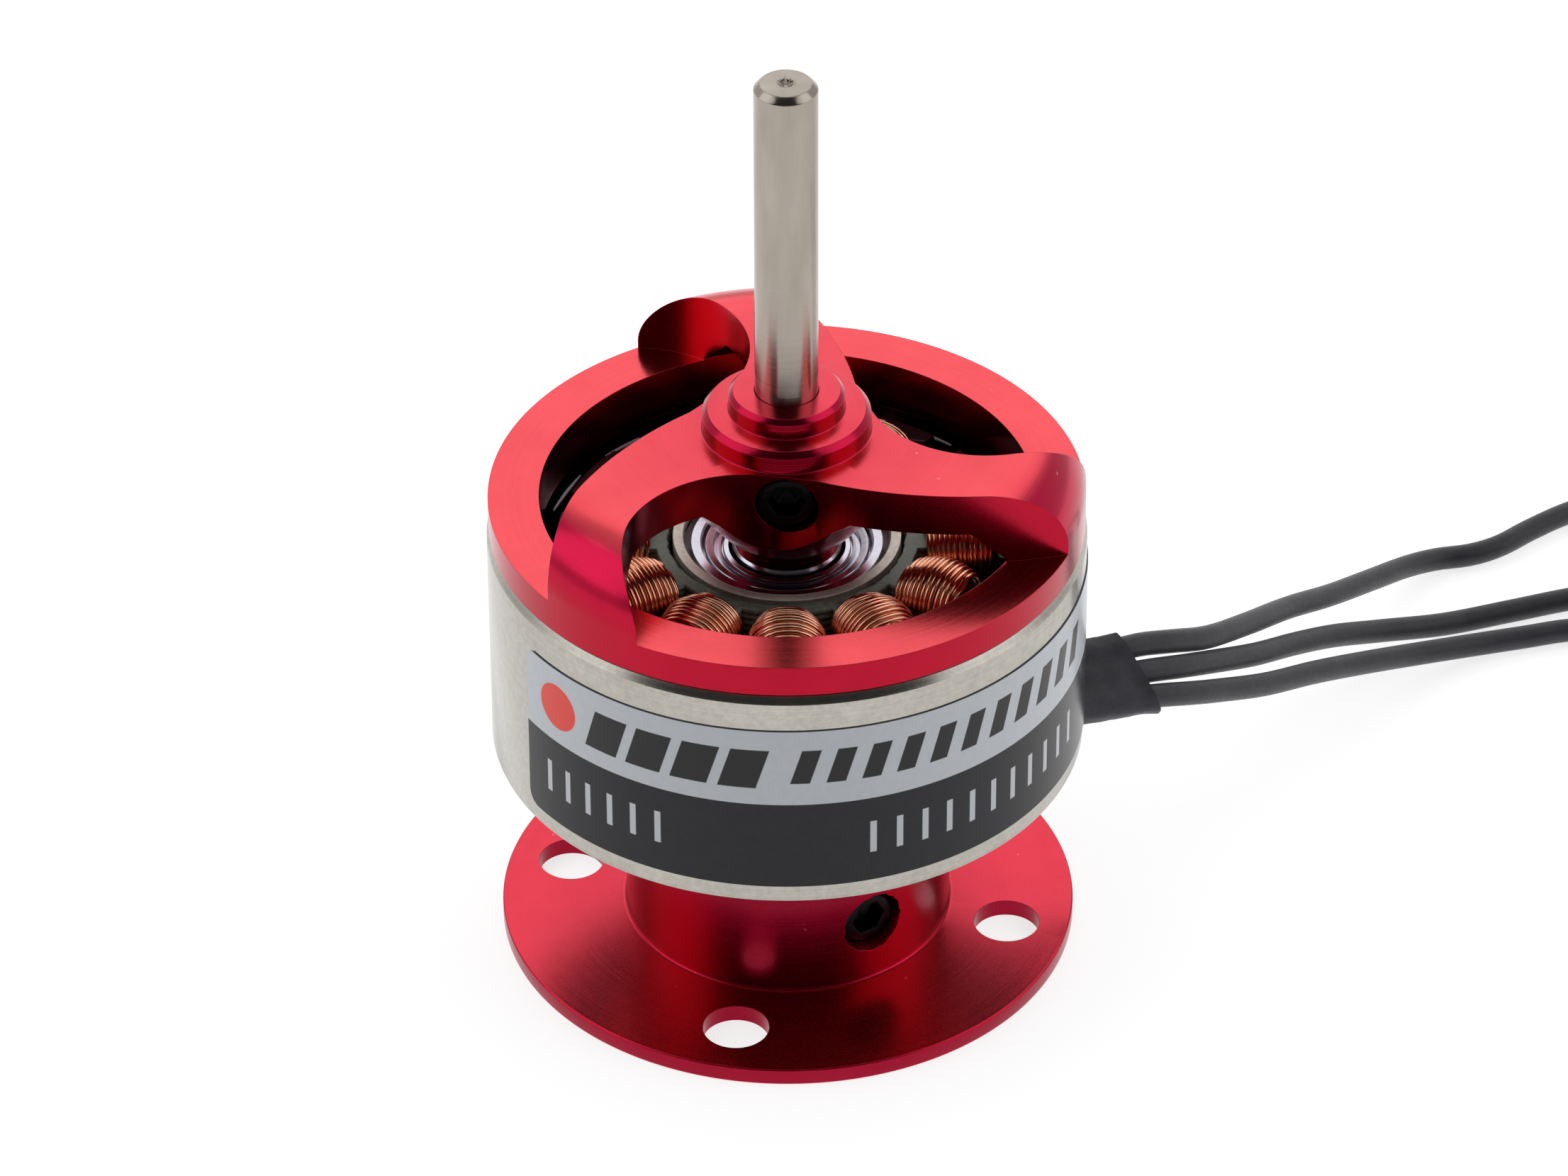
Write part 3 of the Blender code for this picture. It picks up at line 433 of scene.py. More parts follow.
def rounded(profile, corners, steps=4):
    """The profile with the numbered corners replaced by arcs of the given radius."""
    out = []
    for i, point in enumerate(profile):
        if i not in corners:
            out.append(point)
            continue
        p, a, b = Vector(point), Vector(profile[i - 1]), Vector(profile[(i + 1) % len(profile)])
        into, away = (p - a).normalized(), (b - p).normalized()
        turn = math.acos(max(-1.0, min(1.0, into.dot(away))))
        back = corners[i] * math.tan(turn / 2)
        start, end = p - into * back, p + away * back
        for k in range(steps + 1):
            t = k / steps
            out.append(tuple((1 - t) ** 2 * start + 2 * t * (1 - t) * p + t * t * end))
    return out


def scene_object(name, data):
    """A new object with that data, in the scene."""
    obj = bpy.data.objects.new(name, data)
    bpy.context.scene.collection.objects.link(obj)
    return obj


def mesh_object(name, work):
    """The finished bmesh as an object, with its faces pointing out."""
    bmesh.ops.recalc_face_normals(work, faces=work.faces)
    mesh = bpy.data.meshes.new(name)
    work.to_mesh(mesh)
    work.free()
    return scene_object(name, mesh)


def grid_faces(work, rows, close_rows=False, capped=False):
    """Faces between neighbouring rings and, if asked, from the last to the first or over both ends."""
    count = len(rows[0])
    pairs = list(zip(rows, rows[1:]))
    if close_rows:
        pairs.append((rows[-1], rows[0]))
    for near, far in pairs:
        for k in range(count):
            n = (k + 1) % count
            unique = list(dict.fromkeys([near[k], near[n], far[n], far[k]]))
            if len(unique) > 2:
                work.faces.new(unique)
    if capped:
        work.faces.new(rows[0])
        work.faces.new(rows[-1])


def turned(name, profile, steps, closed=True):
    """A profile of (radius, height) points turned about Z; points on the axis become one vertex."""
    work = bmesh.new()
    columns = []
    on_axis = {i: work.verts.new((0, 0, z * MM)) for i, (r, z) in enumerate(profile) if r < 1e-6}
    for k in range(steps):
        x, y = polar(1.0, 360 * k / steps)
        columns.append([on_axis.get(i) or work.verts.new((r * x * MM, r * y * MM, z * MM))
                        for i, (r, z) in enumerate(profile)])
    grid_faces(work, list(zip(*columns)), closed)
    return mesh_object(name, work)


def prism(name, outline, bottom, top):
    """A closed outline given the height from bottom to top."""
    work = bmesh.new()
    low = [work.verts.new((x * MM, y * MM, bottom * MM)) for x, y in outline]
    high = [work.verts.new((x * MM, y * MM, top * MM)) for x, y in outline]
    work.faces.new(low)
    work.faces.new(high)
    grid_faces(work, [low, high])
    return mesh_object(name, work)


def bar(name, start, direction, radius, length, segments=48):
    """A round cutter from start along direction."""
    work = bmesh.new()
    bmesh.ops.create_cone(work, cap_ends=True, segments=segments, radius1=radius * MM, radius2=radius * MM,
                          depth=length * MM)
    turn = Vector((0, 0, 1)).rotation_difference(Vector(direction)).to_matrix().to_4x4()
    place = Matrix.Translation(Vector(start) * MM) @ turn @ Matrix.Translation((0, 0, length / 2 * MM))
    bmesh.ops.transform(work, matrix=place, verts=work.verts)
    return mesh_object(name, work)


def evaluated_mesh(obj):
    """The object's mesh with its modifiers, or its curve's settings, worked out."""
    bpy.context.view_layer.update()
    return bpy.data.meshes.new_from_object(obj.evaluated_get(bpy.context.evaluated_depsgraph_get()))


def cut(obj, cutters):
    """Takes the cutters out of obj and removes them."""
    for cutter in cutters:
        modifier = obj.modifiers.new("cut", "BOOLEAN")
        modifier.operation = "DIFFERENCE"
        modifier.solver = "EXACT"
        modifier.object = cutter
    mesh = evaluated_mesh(obj)
    obj.modifiers.clear()
    obj.data = mesh
    for cutter in cutters:
        bpy.data.objects.remove(cutter, do_unlink=True)


def turned_out(work, radius, degrees, height):
    """Puts a bmesh built along +Z at that radius and height, pointing away from the shaft."""
    x, y = polar(radius, degrees)
    turn = Matrix.Rotation(math.radians(degrees), 4, "Z") @ Matrix.Rotation(math.radians(90), 4, "Y")
    place = Matrix.Translation((x * MM, y * MM, height * MM)) @ turn
    bmesh.ops.transform(work, matrix=place, verts=work.verts)


def dress(obj, material, body, nodes, sharp_deg=32.0, weighted=False):
    """Finish, shading, body and the CAD nodes the piece stands for; the slot is named as the material."""
    obj.data.materials.clear()
    obj.data.materials.append(MATERIALS[material])
    if obj.type == "MESH":
        obj.data.shade_smooth()
        obj.data.set_sharp_from_angle(angle=math.radians(sharp_deg))
        if weighted:
            modifier = obj.modifiers.new("flat_faces", "WEIGHTED_NORMAL")
            modifier.keep_sharp = True
            modifier.weight = 90
    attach(obj, body)
    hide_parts(*nodes)
    return obj


def smooth_route(route, step):
    """Evenly spaced points on a Catmull-Rom curve through the route."""
    points = [Vector(p) for p in route]
    padded = [2 * points[0] - points[1]] + points + [2 * points[-1] - points[-2]]
    dense = []
    for i in range(1, len(padded) - 2):
        p0, p1, p2, p3 = padded[i - 1:i + 3]
        for k in range(16):
            t = k / 16
            dense.append(0.5 * (2 * p1 + (p2 - p0) * t + (2 * p0 - 5 * p1 + 4 * p2 - p3) * t * t
                                + (3 * p1 - p0 - 3 * p2 + p3) * t * t * t))
    dense.append(points[-1])
    travelled = [0.0]
    for a, b in zip(dense, dense[1:]):
        travelled.append(travelled[-1] + (b - a).length)
    count = max(2, round(travelled[-1] / step))
    even = []
    j = 0
    for i in range(count + 1):
        want = travelled[-1] * i / count
        while j < len(dense) - 2 and travelled[j + 1] < want:
            j += 1
        span = travelled[j + 1] - travelled[j]
        even.append(dense[j].lerp(dense[j + 1], (want - travelled[j]) / span))
    return even, travelled[-1]


def tube(name, points, radius, sides=8):
    """A round tube along the points, closed at both ends, with a steady frame along it."""
    work = bmesh.new()
    rings = []
    side = None
    for i, point in enumerate(points):
        ahead = (points[min(i + 1, len(points) - 1)] - points[max(i - 1, 0)]).normalized()
        if side is None:
            side = ahead.orthogonal().normalized()
        side = (side - ahead * side.dot(ahead)).normalized()
        other = ahead.cross(side)
        ring = []
        for k in range(sides):
            x, y = polar(radius, 360 * k / sides)
            ring.append(work.verts.new((point + side * x + other * y) * MM))
        rings.append(ring)
    grid_faces(work, rings, capped=True)
    return mesh_object(name, work)


# ==== leads, sleeve, connectors

LEAD_R = 0.6
LEAD_STEP = 0.5              # along a lead's curve
LEAD_COARSE_STEP = 2.8       # along the one that aims its connector
CONNECTOR_R = 1.25
CONNECTOR_LENGTH = 12.0
FACE_GAP = 0.3
FLOOR_GAP = 0.02

LEAD_ROUTES = {
    "a": ((16.45, 7.4, 10.1), (17.5, 8.0, 9.95), (19.0, 9.0, 9.4), (20.9, 10.7, 8.4), (23.1, 13.9, 6.9),
          (25.4, 17.6, 5.2), (27.8, 20.9, 3.6), (30.2, 24.2, 2.2), (32.2, 26.8, 1.15), (33.9, 28.1, 0.7),
          (35.7, 28.6, 0.62), (37.3, 29.4, 0.62), (39.1, 30.9, 0.62), (41.2, 32.4, 0.62), (44.3, 34.0, 0.62),
          (48.5, 35.2, 0.62), (53.0, 35.5, 0.62), (56.6, 35.0, 0.85), (59.2, 34.3, 1.2), (60.6, 33.9, 1.27)),
    "b": ((17.1, 6.55, 9.25), (18.1, 7.15, 9.0), (19.4, 8.1, 8.5), (21.0, 9.7, 7.6), (23.4, 12.5, 6.0),
          (25.7, 15.6, 4.4), (27.9, 18.2, 3.0), (30.5, 20.4, 1.7), (33.9, 22.2, 0.8), (37.5, 23.6, 0.62),
          (40.5, 24.6, 0.62), (44.5, 25.7, 0.62), (49.0, 26.4, 0.62), (53.5, 26.5, 0.62), (58.0, 26.0, 0.62),
          (61.8, 25.2, 0.85), (64.4, 24.5, 1.2), (65.8, 24.1, 1.27)),
    "c": ((17.75, 5.75, 8.4), (18.7, 6.3, 8.1), (19.9, 7.1, 7.6), (21.4, 8.4, 6.8), (23.9, 10.8, 5.4),
          (26.6, 13.7, 4.0), (29.3, 16.4, 2.6), (32.0, 18.6, 1.5), (35.5, 20.5, 0.75), (38.0, 21.3, 0.62),
          (40.4, 21.9, 0.62), (44.2, 22.3, 0.62), (48.5, 21.9, 0.62), (53.0, 20.6, 0.62), (57.5, 18.7, 0.62),
          (61.4, 16.8, 0.85), (64.0, 15.5, 1.2), (65.3, 14.8, 1.27)),
}

SLEEVE_DEG = 21.0
SLEEVE_STATIONS = 40
SLEEVE_SIDES = 64
SLEEVE_HALF_WIDE = 2.13
SLEEVE_HALF_THICK = 0.82
LEAD_PITCH = 1.32
SLEEVE_ROUTE = ((9.4, 9.7, 0.0), (11.5, 9.6, 8.0), (13.6, 9.45, 18.0), (15.4, 9.4, 30.0),
                (16.6, 9.35, 36.0), (18.45, 9.22, 41.0))      # radius, height, tilt in degrees


def make_leads():
    """The three leads as curves, each with its connector."""
    for letter, route in LEAD_ROUTES.items():
        points, length = smooth_route(route, LEAD_STEP)
        curve = bpy.data.curves.new("wire_" + letter, "CURVE")
        curve.dimensions = "3D"
        curve.bevel_depth = LEAD_R * MM
        curve.bevel_resolution = 4
        curve.use_fill_caps = True
        spline = curve.splines.new("POLY")
        spline.points.add(len(points) - 1)
        for knot, point in zip(spline.points, points):
            knot.co = (*(point * MM), 1.0)
        wire = scene_object("wire_" + letter, curve)
        dress(wire, "lead_silicone", "stator", ["lead_" + letter])
        coarse, _ = smooth_route(route, LEAD_COARSE_STEP)
        contact = make_connector(letter, coarse[-1], (coarse[-1] - coarse[-3]).normalized())


def make_connector(letter, lead_end, direction):
    """Bullet contact: a neck over the lead's end, a solder cup, a collar and a sprung pin with slits."""
    r = CONNECTOR_R
    length = CONNECTOR_LENGTH
    profile = [(0.0, length), (0.45, length), (0.72, length - 0.25), (0.9, length - 0.8),
               (0.98, length - 1.9), (0.99, length - 3.0), (0.9, length - 4.2), (0.8, length - 5.2),
               (0.8, length - 6.0), (r - 0.1, length - 6.15), (r, length - 6.3), (r, length - 7.4),
               (r - 0.1, length - 7.5), (1.05, length - 7.6), (1.05, length - 8.2), (r - 0.08, length - 8.3),
               (r, length - 8.45), (r, 0.15), (r - 0.15, 0.0), (0.74, -0.02), (0.70, -0.12), (0.70, -0.55),
               (0.0, -0.55)]
    contact = turned("bullet_" + letter, profile, 48, closed=False)
    slits = []
    for k in range(2):
        work = bmesh.new()
        bmesh.ops.create_cube(work, size=1.0)
        size = Matrix.Diagonal((0.22 * MM, 3.0 * MM, 5.4 * MM, 1.0))
        turn = Matrix.Rotation(math.radians(90 * k), 4, "Z")
        place = Matrix.Translation((0, 0, (length - 2.4) * MM)) @ turn @ size
        bmesh.ops.transform(work, matrix=place, verts=work.verts)
        slits.append(mesh_object("slit", work))
    cut(contact, slits)
    level = Vector((direction.x, direction.y, 0)).normalized()
    start = Vector((lead_end.x, lead_end.y, r + FLOOR_GAP)) + level * FACE_GAP
    turn = Vector((0, 0, 1)).rotation_difference(level).to_matrix().to_4x4()
    contact.data.transform(Matrix.Translation(start * MM) @ turn)
    return dress(contact, "gold_contact", "stator", ["connector_" + letter])


def make_sleeve():
    """Flat shrink tube that grips the three leads: lobed over them, a little wrinkled, cut at a slant."""
    sweep = Vector((*polar(1.0, SLEEVE_DEG), 0.0))
    sideways = Vector((-sweep.y, sweep.x, 0.0))
    keys = np.array(SLEEVE_ROUTE)
    work = bmesh.new()
    rings = []
    for i in range(SLEEVE_STATIONS + 1):
        t = i / SLEEVE_STATIONS
        radius = keys[0, 0] + (keys[-1, 0] - keys[0, 0]) * t
        height = float(np.interp(radius, keys[:, 0], keys[:, 1]))
        tilt = math.radians(float(np.interp(radius, keys[:, 0], keys[:, 2])))
        wide = sideways * math.cos(tilt) + Vector((0, 0, 1)) * math.sin(tilt)
        thick = -sideways * math.sin(tilt) + Vector((0, 0, 1)) * math.cos(tilt)
        flare = 0.06 * max(0.0, (t - 0.93) / 0.07)
        ring = []
        for k in range(SLEEVE_SIDES):
            x, y = polar(1.0, 360 * k / SLEEVE_SIDES)
            across = (SLEEVE_HALF_WIDE + flare) * math.copysign(abs(x) ** 0.72, x)
            lobes = SLEEVE_HALF_THICK + 0.055 * math.cos(math.tau * across / LEAD_PITCH) * (0.4 + 0.6 * t)
            over = (lobes + flare) * math.copysign(abs(y) ** 0.62, y)
            skew = -0.55 * across / 2.15 * max(0.0, (t - 0.6) / 0.4)
            where = sweep * (radius + skew) + Vector((0, 0, height)) + wide * across + thick * over
            wobble = 0.05 * noise.noise(where * 0.9) + 0.02 * noise.noise(where * 2.7)
            ring.append(work.verts.new((where + (wide * x + thick * y) * wobble) * MM))
        rings.append(ring)
    grid_faces(work, rings)
    centre = sum((v.co for v in rings[-1]), Vector()) / SLEEVE_SIDES
    lip = [work.verts.new(centre + (v.co - centre) * 0.86) for v in rings[-1]]
    deep = [work.verts.new(centre + (v.co - centre) * 0.84 - sweep * 0.9 * MM) for v in rings[-1]]
    grid_faces(work, [rings[-1], lip, deep])
    work.faces.new(deep)
    work.faces.new(rings[0])
    return dress(mesh_object("sleeve", work), "shrink_sleeve", "stator", ["lead_sleeve"], 50)


# ==== bell, can, label

CAP_R = 14.2
CAP_BORE_R = 1.51
CAP_RIM_BOTTOM = 23.24
CAP_RING_TOP = 24.86
SPOKE_TOP = 28.62
SPOKE_UNDER = 26.45
SHOULDER_R = 3.35
POCKET_ARC_CENTRE = (-1.95, -9.70)
POCKET_ARC_R = 5.68
POCKET_ARC_END_DEG = 77.0
SPOKE_ARC_CENTRE = (8.3, 13.12)
SPOKE_ARC_R = 19.0
SPOKE_ARC_START_DEG = 248.4
HIGH_CUT_R = 14.9            # above the ring the windows run out past the rim
WINDOW_R = 11.6
HUB_SCREW_DEG = 270.0
HUB_SCREW_Z = 27.0
HUB_SCREW_SPAN = (1.75, 4.05)


def arc_exit(centre, radius, run_out):
    """Where a clockwise arc about centre leaves the circle of radius run_out about the axis."""
    centre_r = math.hypot(*centre)
    swing = math.acos((run_out ** 2 - centre_r ** 2 - radius ** 2) / (2 * centre_r * radius))
    return math.degrees(math.atan2(centre[1], centre[0]) - swing) + 360


def pocket_outline(run_out):
    """One window: the milled circle, the bowed flank of the next spoke, and an arc about the axis."""
    first = arc_exit(POCKET_ARC_CENTRE, POCKET_ARC_R, run_out)
    points = arc(POCKET_ARC_CENTRE, POCKET_ARC_R, first, POCKET_ARC_END_DEG, 60)
    last = arc_exit(SPOKE_ARC_CENTRE, SPOKE_ARC_R, run_out)
    points += arc(SPOKE_ARC_CENTRE, SPOKE_ARC_R, SPOKE_ARC_START_DEG, last, 36)
    start = math.degrees(math.atan2(points[-1][1], points[-1][0]))
    end = math.degrees(math.atan2(points[0][1], points[0][0]))
    points += arc((0, 0), run_out, start, end, 60)[1:-1]
    points.reverse()
    return points


def turned_outline(outline, degrees):
    """The outline turned about the axis."""
    c, s = math.cos(math.radians(degrees)), math.sin(math.radians(degrees))
    return [(x * c - y * s, x * s + y * c) for x, y in outline]


def make_bell():
    """Ring, dome and stepped hub turned in one, then the three windows and the screw's hole cut out."""
    profile = [(1.54, 30.71), (2.54, 30.71), (2.75, 30.48), (2.75, 29.71), (3.74, 29.71), (4.0, 29.43),
               (4.0, SPOKE_TOP)]
    rounds = {1: 0.05, 2: 0.05, 3: 0.11, 4: 0.05, 5: 0.05, 6: 0.11}
    profile = rounded(profile + [(CAP_R - SHOULDER_R - 0.2, SPOKE_TOP)], rounds, 3)
    profile += arc((CAP_R - SHOULDER_R, SPOKE_TOP - SHOULDER_R), SHOULDER_R, 90, 0, 26)
    profile += [(CAP_R, CAP_RIM_BOTTOM + 0.07), (CAP_R - 0.07, CAP_RIM_BOTTOM), (12.95, CAP_RIM_BOTTOM),
                (12.95, 22.25), (11.85, 22.25), (11.77, 22.33), (11.77, 25.0), (10.4, SPOKE_UNDER),
                (5.9, SPOKE_UNDER), (5.2, 25.75), (4.3, 24.5), (3.4, 23.4), (2.45, 22.42), (2.2, 22.3),
                (CAP_BORE_R, 22.3), (CAP_BORE_R, 30.68)]
    bell = turned("bell", profile, FINE_STEPS)
    cutters = []
    for k in range(3):
        high, deep = (turned_outline(pocket_outline(radius), 120 * k) for radius in (HIGH_CUT_R, WINDOW_R))
        cutters.append(prism("high", high, CAP_RING_TOP, 33.0))
        cutters.append(prism("deep", deep, 20.5, CAP_RING_TOP + 1))
    cutters.append(bar("screw_hole", (0, -0.8, HUB_SCREW_Z), (0, -1, 0), 1.5, 5.4))
    cut(bell, cutters)
    return dress(bell, "red_anodised", "rotor", ["bell_cap"], 30, True)


def make_can():
    """The rotor's steel ring."""
    profile = [(14.02, 23.14), (14.06, 23.12), (14.29, 22.78), (14.3, 22.7), (14.3, 11.45), (14.27, 11.36),
               (14.2, 11.31), (13.2, 11.31), (13.1, 11.41), (13.1, 23.14)]
    can = turned("can", profile, FINE_STEPS)
    return dress(can, "nickel_steel", "rotor", ["flux_ring"], 25)


def make_label():
    """The film's rounded rectangle, bent round the can."""
    inner, outer = 14.31, 14.36
    corner = 0.7
    length = math.radians(LABEL_SWEEP_DEG) * outer
    columns = 240
    rows = []
    work = bmesh.new()
    for i in range(columns + 1):
        along = length * i / columns
        edge = min(along, length - along)
        if edge < corner:
            edge = (1 - math.cos(edge / corner * math.pi / 2)) * corner
            along = edge if i < columns / 2 else length - edge
        drop = corner - math.sqrt(max(0.0, corner ** 2 - (corner - edge) ** 2)) if edge < corner else 0.0
        x, y = polar(1.0, LABEL_START_DEG + math.degrees(along / outer))
        low, high = LABEL_Z[0] + drop, LABEL_Z[1] - drop
        section = ((inner, low), (outer, low + 0.02), (outer, (low + high) / 2), (outer, high - 0.02),
                   (inner, high))
        rows.append([work.verts.new((r * x * MM, r * y * MM, z * MM)) for r, z in section])
    grid_faces(work, rows, capped=True)
    return dress(mesh_object("print_film", work), "label_film", "rotor", ["label"], 40)


# ==== mount, tube, bearings, shaft

MOUNT_HUB_R = 7.93
MOUNT_HUB_TOP = 9.6
MOUNT_BORE_R = 5.55
FLANGE_R = 14.03
FLANGE_TOP = 0.87
BOLT_PITCH_R = 11.0
BOLT_FIRST_DEG = -13.25
BOLT_HOLE_R = 1.6
MOUNT_SCREW_DEG = 301.5
MOUNT_SCREW_Z = 4.1
MOUNT_SCREW_SPAN = (5.6, 7.45)


def make_mount():
    """Flange and hub with four bolt holes and the clamping screw's rough countersunk hole."""
    profile = [(MOUNT_HUB_R, MOUNT_HUB_TOP), (MOUNT_HUB_R, FLANGE_TOP), (FLANGE_R, FLANGE_TOP),
               (FLANGE_R, 0.0), (MOUNT_BORE_R, 0.0), (MOUNT_BORE_R, MOUNT_HUB_TOP)]
    profile = rounded(profile, {0: 0.22, 1: 0.2, 2: 0.1, 3: 0.1, 4: 0.12}, 4)
    mount = turned("mount", profile, FINE_STEPS)
    cutters = []
    for k in range(4):
        x, y = polar(BOLT_PITCH_R, BOLT_FIRST_DEG + 90 * k)
        cutters.append(bar("bolt_hole", (x, y, -1), (0, 0, 1), BOLT_HOLE_R, 3, 64))
    out = Vector((*polar(1.0, MOUNT_SCREW_DEG), 0.0))
    cutters.append(bar("screw_hole", out * 4.0 + Vector((0, 0, MOUNT_SCREW_Z)), out, 1.45, 6.0))
    cutters.append(ragged_sink())
    cut(mount, cutters)
    return dress(mount, "red_mount", "stator", ["mount_flange"], 30, True)


def ragged_sink():
    """The rough countersink round the mount's screw: a cone with an uneven rim."""
    rng = random.Random(7)
    work = bmesh.new()
    rings = []
    count = 40
    for depth, radius, uneven in ((-0.75, 1.42, 0.0), (0.0, 1.62, 0.06), (0.6, 1.95, 0.16)):
        ring = []
        for k in range(count):
            x, y = polar(radius + uneven * rng.uniform(-1, 1), 360 * k / count)
            ring.append(work.verts.new(Vector((x, y, depth)) * MM))
        rings.append(ring)
    grid_faces(work, rings, capped=True)
    turned_out(work, MOUNT_HUB_R, MOUNT_SCREW_DEG, MOUNT_SCREW_Z)
    return mesh_object("sink", work)


SOCKET_HALF_FLAT = 0.75


def make_grub_screw(name, degrees, span, height, node, body):
    """M3 grub screw with a hexagon socket in its outer end."""
    length = span[1] - span[0]
    count = 48

    def hexagon(angle):
        return SOCKET_HALF_FLAT / math.cos((angle + 30) % 60 * math.pi / 180 - math.pi / 6)

    # radius, or offset from the socket's flats; height; whether it is hexagonal
    levels = [(0.0, 0.0, 0), (1.15, 0.0, 0), (1.4, 0.25, 0), (1.4, length - 0.2, 0), (1.32, length - 0.08, 0),
              (1.2, length, 0), (0.07, length, 1), (0.02, length - 0.06, 1), (0.0, length - 1.0, 1),
              (-0.3, length - 1.12, 1), (None, length - 1.3, 1)]
    work = bmesh.new()
    rings = []
    for offset, z, hexed in levels:
        if offset is None or (offset == 0.0 and not hexed):
            rings.append([work.verts.new((0, 0, z * MM))] * count)
            continue
        ring = []
        for k in range(count):
            angle = 360 * k / count
            x, y = polar(hexagon(angle) + offset if hexed else offset, angle)
            ring.append(work.verts.new((x * MM, y * MM, z * MM)))
        rings.append(ring)
    grid_faces(work, rings)
    turned_out(work, span[0], degrees, height)
    return dress(mesh_object(name, work), "black_oxide", body, [node], 35)


TUBE_R = 5.45
SEAT_R = 5.05
TUBE_BORE_R = 4.3


def make_bearing_tube():
    """Tube with a bearing seat at each end and a lip pressed in over the upper bearing."""
    profile = [(TUBE_R, 22.38), (TUBE_R, 0.95), (SEAT_R, 0.95), (SEAT_R, 5.95), (TUBE_BORE_R, 5.95),
               (TUBE_BORE_R, 17.95), (SEAT_R, 17.95), (SEAT_R, 22.03), (4.9, 22.08), (4.93, 22.35),
               (4.97, 22.38)]
    tube_piece = turned("tube", rounded(profile, {0: 0.06, 1: 0.1}, 3), 160)
    return dress(tube_piece, "bare_aluminium", "stator", ["bearing_tube"], 30)


BEARING_HALF_HIGH = 2.0
BEARING_MIDDLES = {"upper": 20.0, "lower": 3.9}
BALL_CIRCLE_R = 3.25
GROOVE_R = 0.86
SHIELD_SKIN = ((3.91, 0.3), (3.92, 0.02), (4.04, 0.0), (4.04, -0.14), (2.76, -0.14), (2.76, 0.2), (2.8, 0.26),
               (3.02, 0.2), (3.05, 0.03), (3.13, 0.03), (3.15, 0.24), (3.28, 0.25), (3.3, 0.03), (3.5, 0.04),
               (3.53, 0.28), (3.88, 0.33))       # radius and lift from the shield's face


def make_bearing(prefix, middle):
    """Races and shields of one bearing with their lips, grooves and steps."""
    top, bottom = middle + BEARING_HALF_HIGH, middle - BEARING_HALF_HIGH
    outer = [(4.56, top), (4.66, top - 0.12), (4.98, top - 0.3), (5.0, bottom + 0.3), (4.68, bottom),
             (4.14, bottom), (4.06, bottom + 0.1), (4.06, middle - 1.2), (3.86, middle - 1.2)]
    outer += arc((BALL_CIRCLE_R, middle), GROOVE_R, -45, 45, 9)
    outer += [(3.86, middle + 1.2), (4.06, middle + 1.2), (4.06, top - 0.1), (4.14, top)]
    race = turned(prefix + "_ring", outer, 128)
    dress(race, "bearing_steel", "stator", [prefix + "_outer_race"], 25)
    inner = [(2.52, top), (2.62, top - 0.12), (2.62, middle + 0.6)]
    inner += arc((BALL_CIRCLE_R, middle), GROOVE_R, 138, 222, 9)
    inner += [(2.62, middle - 0.6), (2.62, bottom + 0.12), (2.52, bottom), (1.65, bottom),
              (1.56, bottom + 0.1), (1.56, top - 0.1), (1.65, top)]
    race = turned(prefix + "_hub", inner, 96)
    dress(race, "bearing_steel", "rotor", [prefix + "_inner_race"], 25)
    for label, way in (("top", 1), ("bottom", -1)):
        face = middle + way * 1.5
        skin = [(radius, face + way * lift) for radius, lift in SHIELD_SKIN]
        shield = turned("%s_cover_%s" % (prefix, label), skin, 128)
        dress(shield, "bearing_steel", "stator", ["%s_shield_%s" % (prefix, label)], 25)


TIP = 47.63
SHAFT_R = 1.5
GROOVE_FLOOR_R = 1.15


def make_shaft():
    """The shaft, with an uneven centre mark in its tip and the clip's groove near its foot."""
    rng = random.Random(3)
    profile = [(0.0, TIP - 0.18), (0.1, TIP - 0.17), (0.3, TIP - 0.06), (0.36, TIP), (1.2, TIP),
               (SHAFT_R, TIP - 0.3), (SHAFT_R, 1.62), (GROOVE_FLOOR_R, 1.62), (GROOVE_FLOOR_R, 1.15),
               (SHAFT_R, 1.15), (SHAFT_R, 0.65), (1.25, 0.4), (0.0, 0.4)]
    profile = rounded(profile, {4: 0.08, 5: 0.1}, 3)
    shaft = turned("spindle", profile, 96, closed=False)
    for vertex in shaft.data.vertices:
        x, y, z = vertex.co / MM
        if z > TIP - 0.1 and 0.2 < math.hypot(x, y) < 0.5:
            push = 1 + rng.uniform(-0.22, 0.3)
            vertex.co.x *= push
            vertex.co.y *= push
    return dress(shaft, "shaft_steel", "rotor", ["shaft"], 30)


# ==== stator

STATOR_Z = (12.3, 22.3)
TEETH = 12
TOOTH_PITCH_DEG = 360 // TEETH
TOOTH_HALF = 1.1
ROOT_R = 6.3
HEAD_R = 11.0
HEAD_HALF_DEG = 10.6
STACK_BORE_R = 5.66
RIM_BREAK = 0.00006          # metres


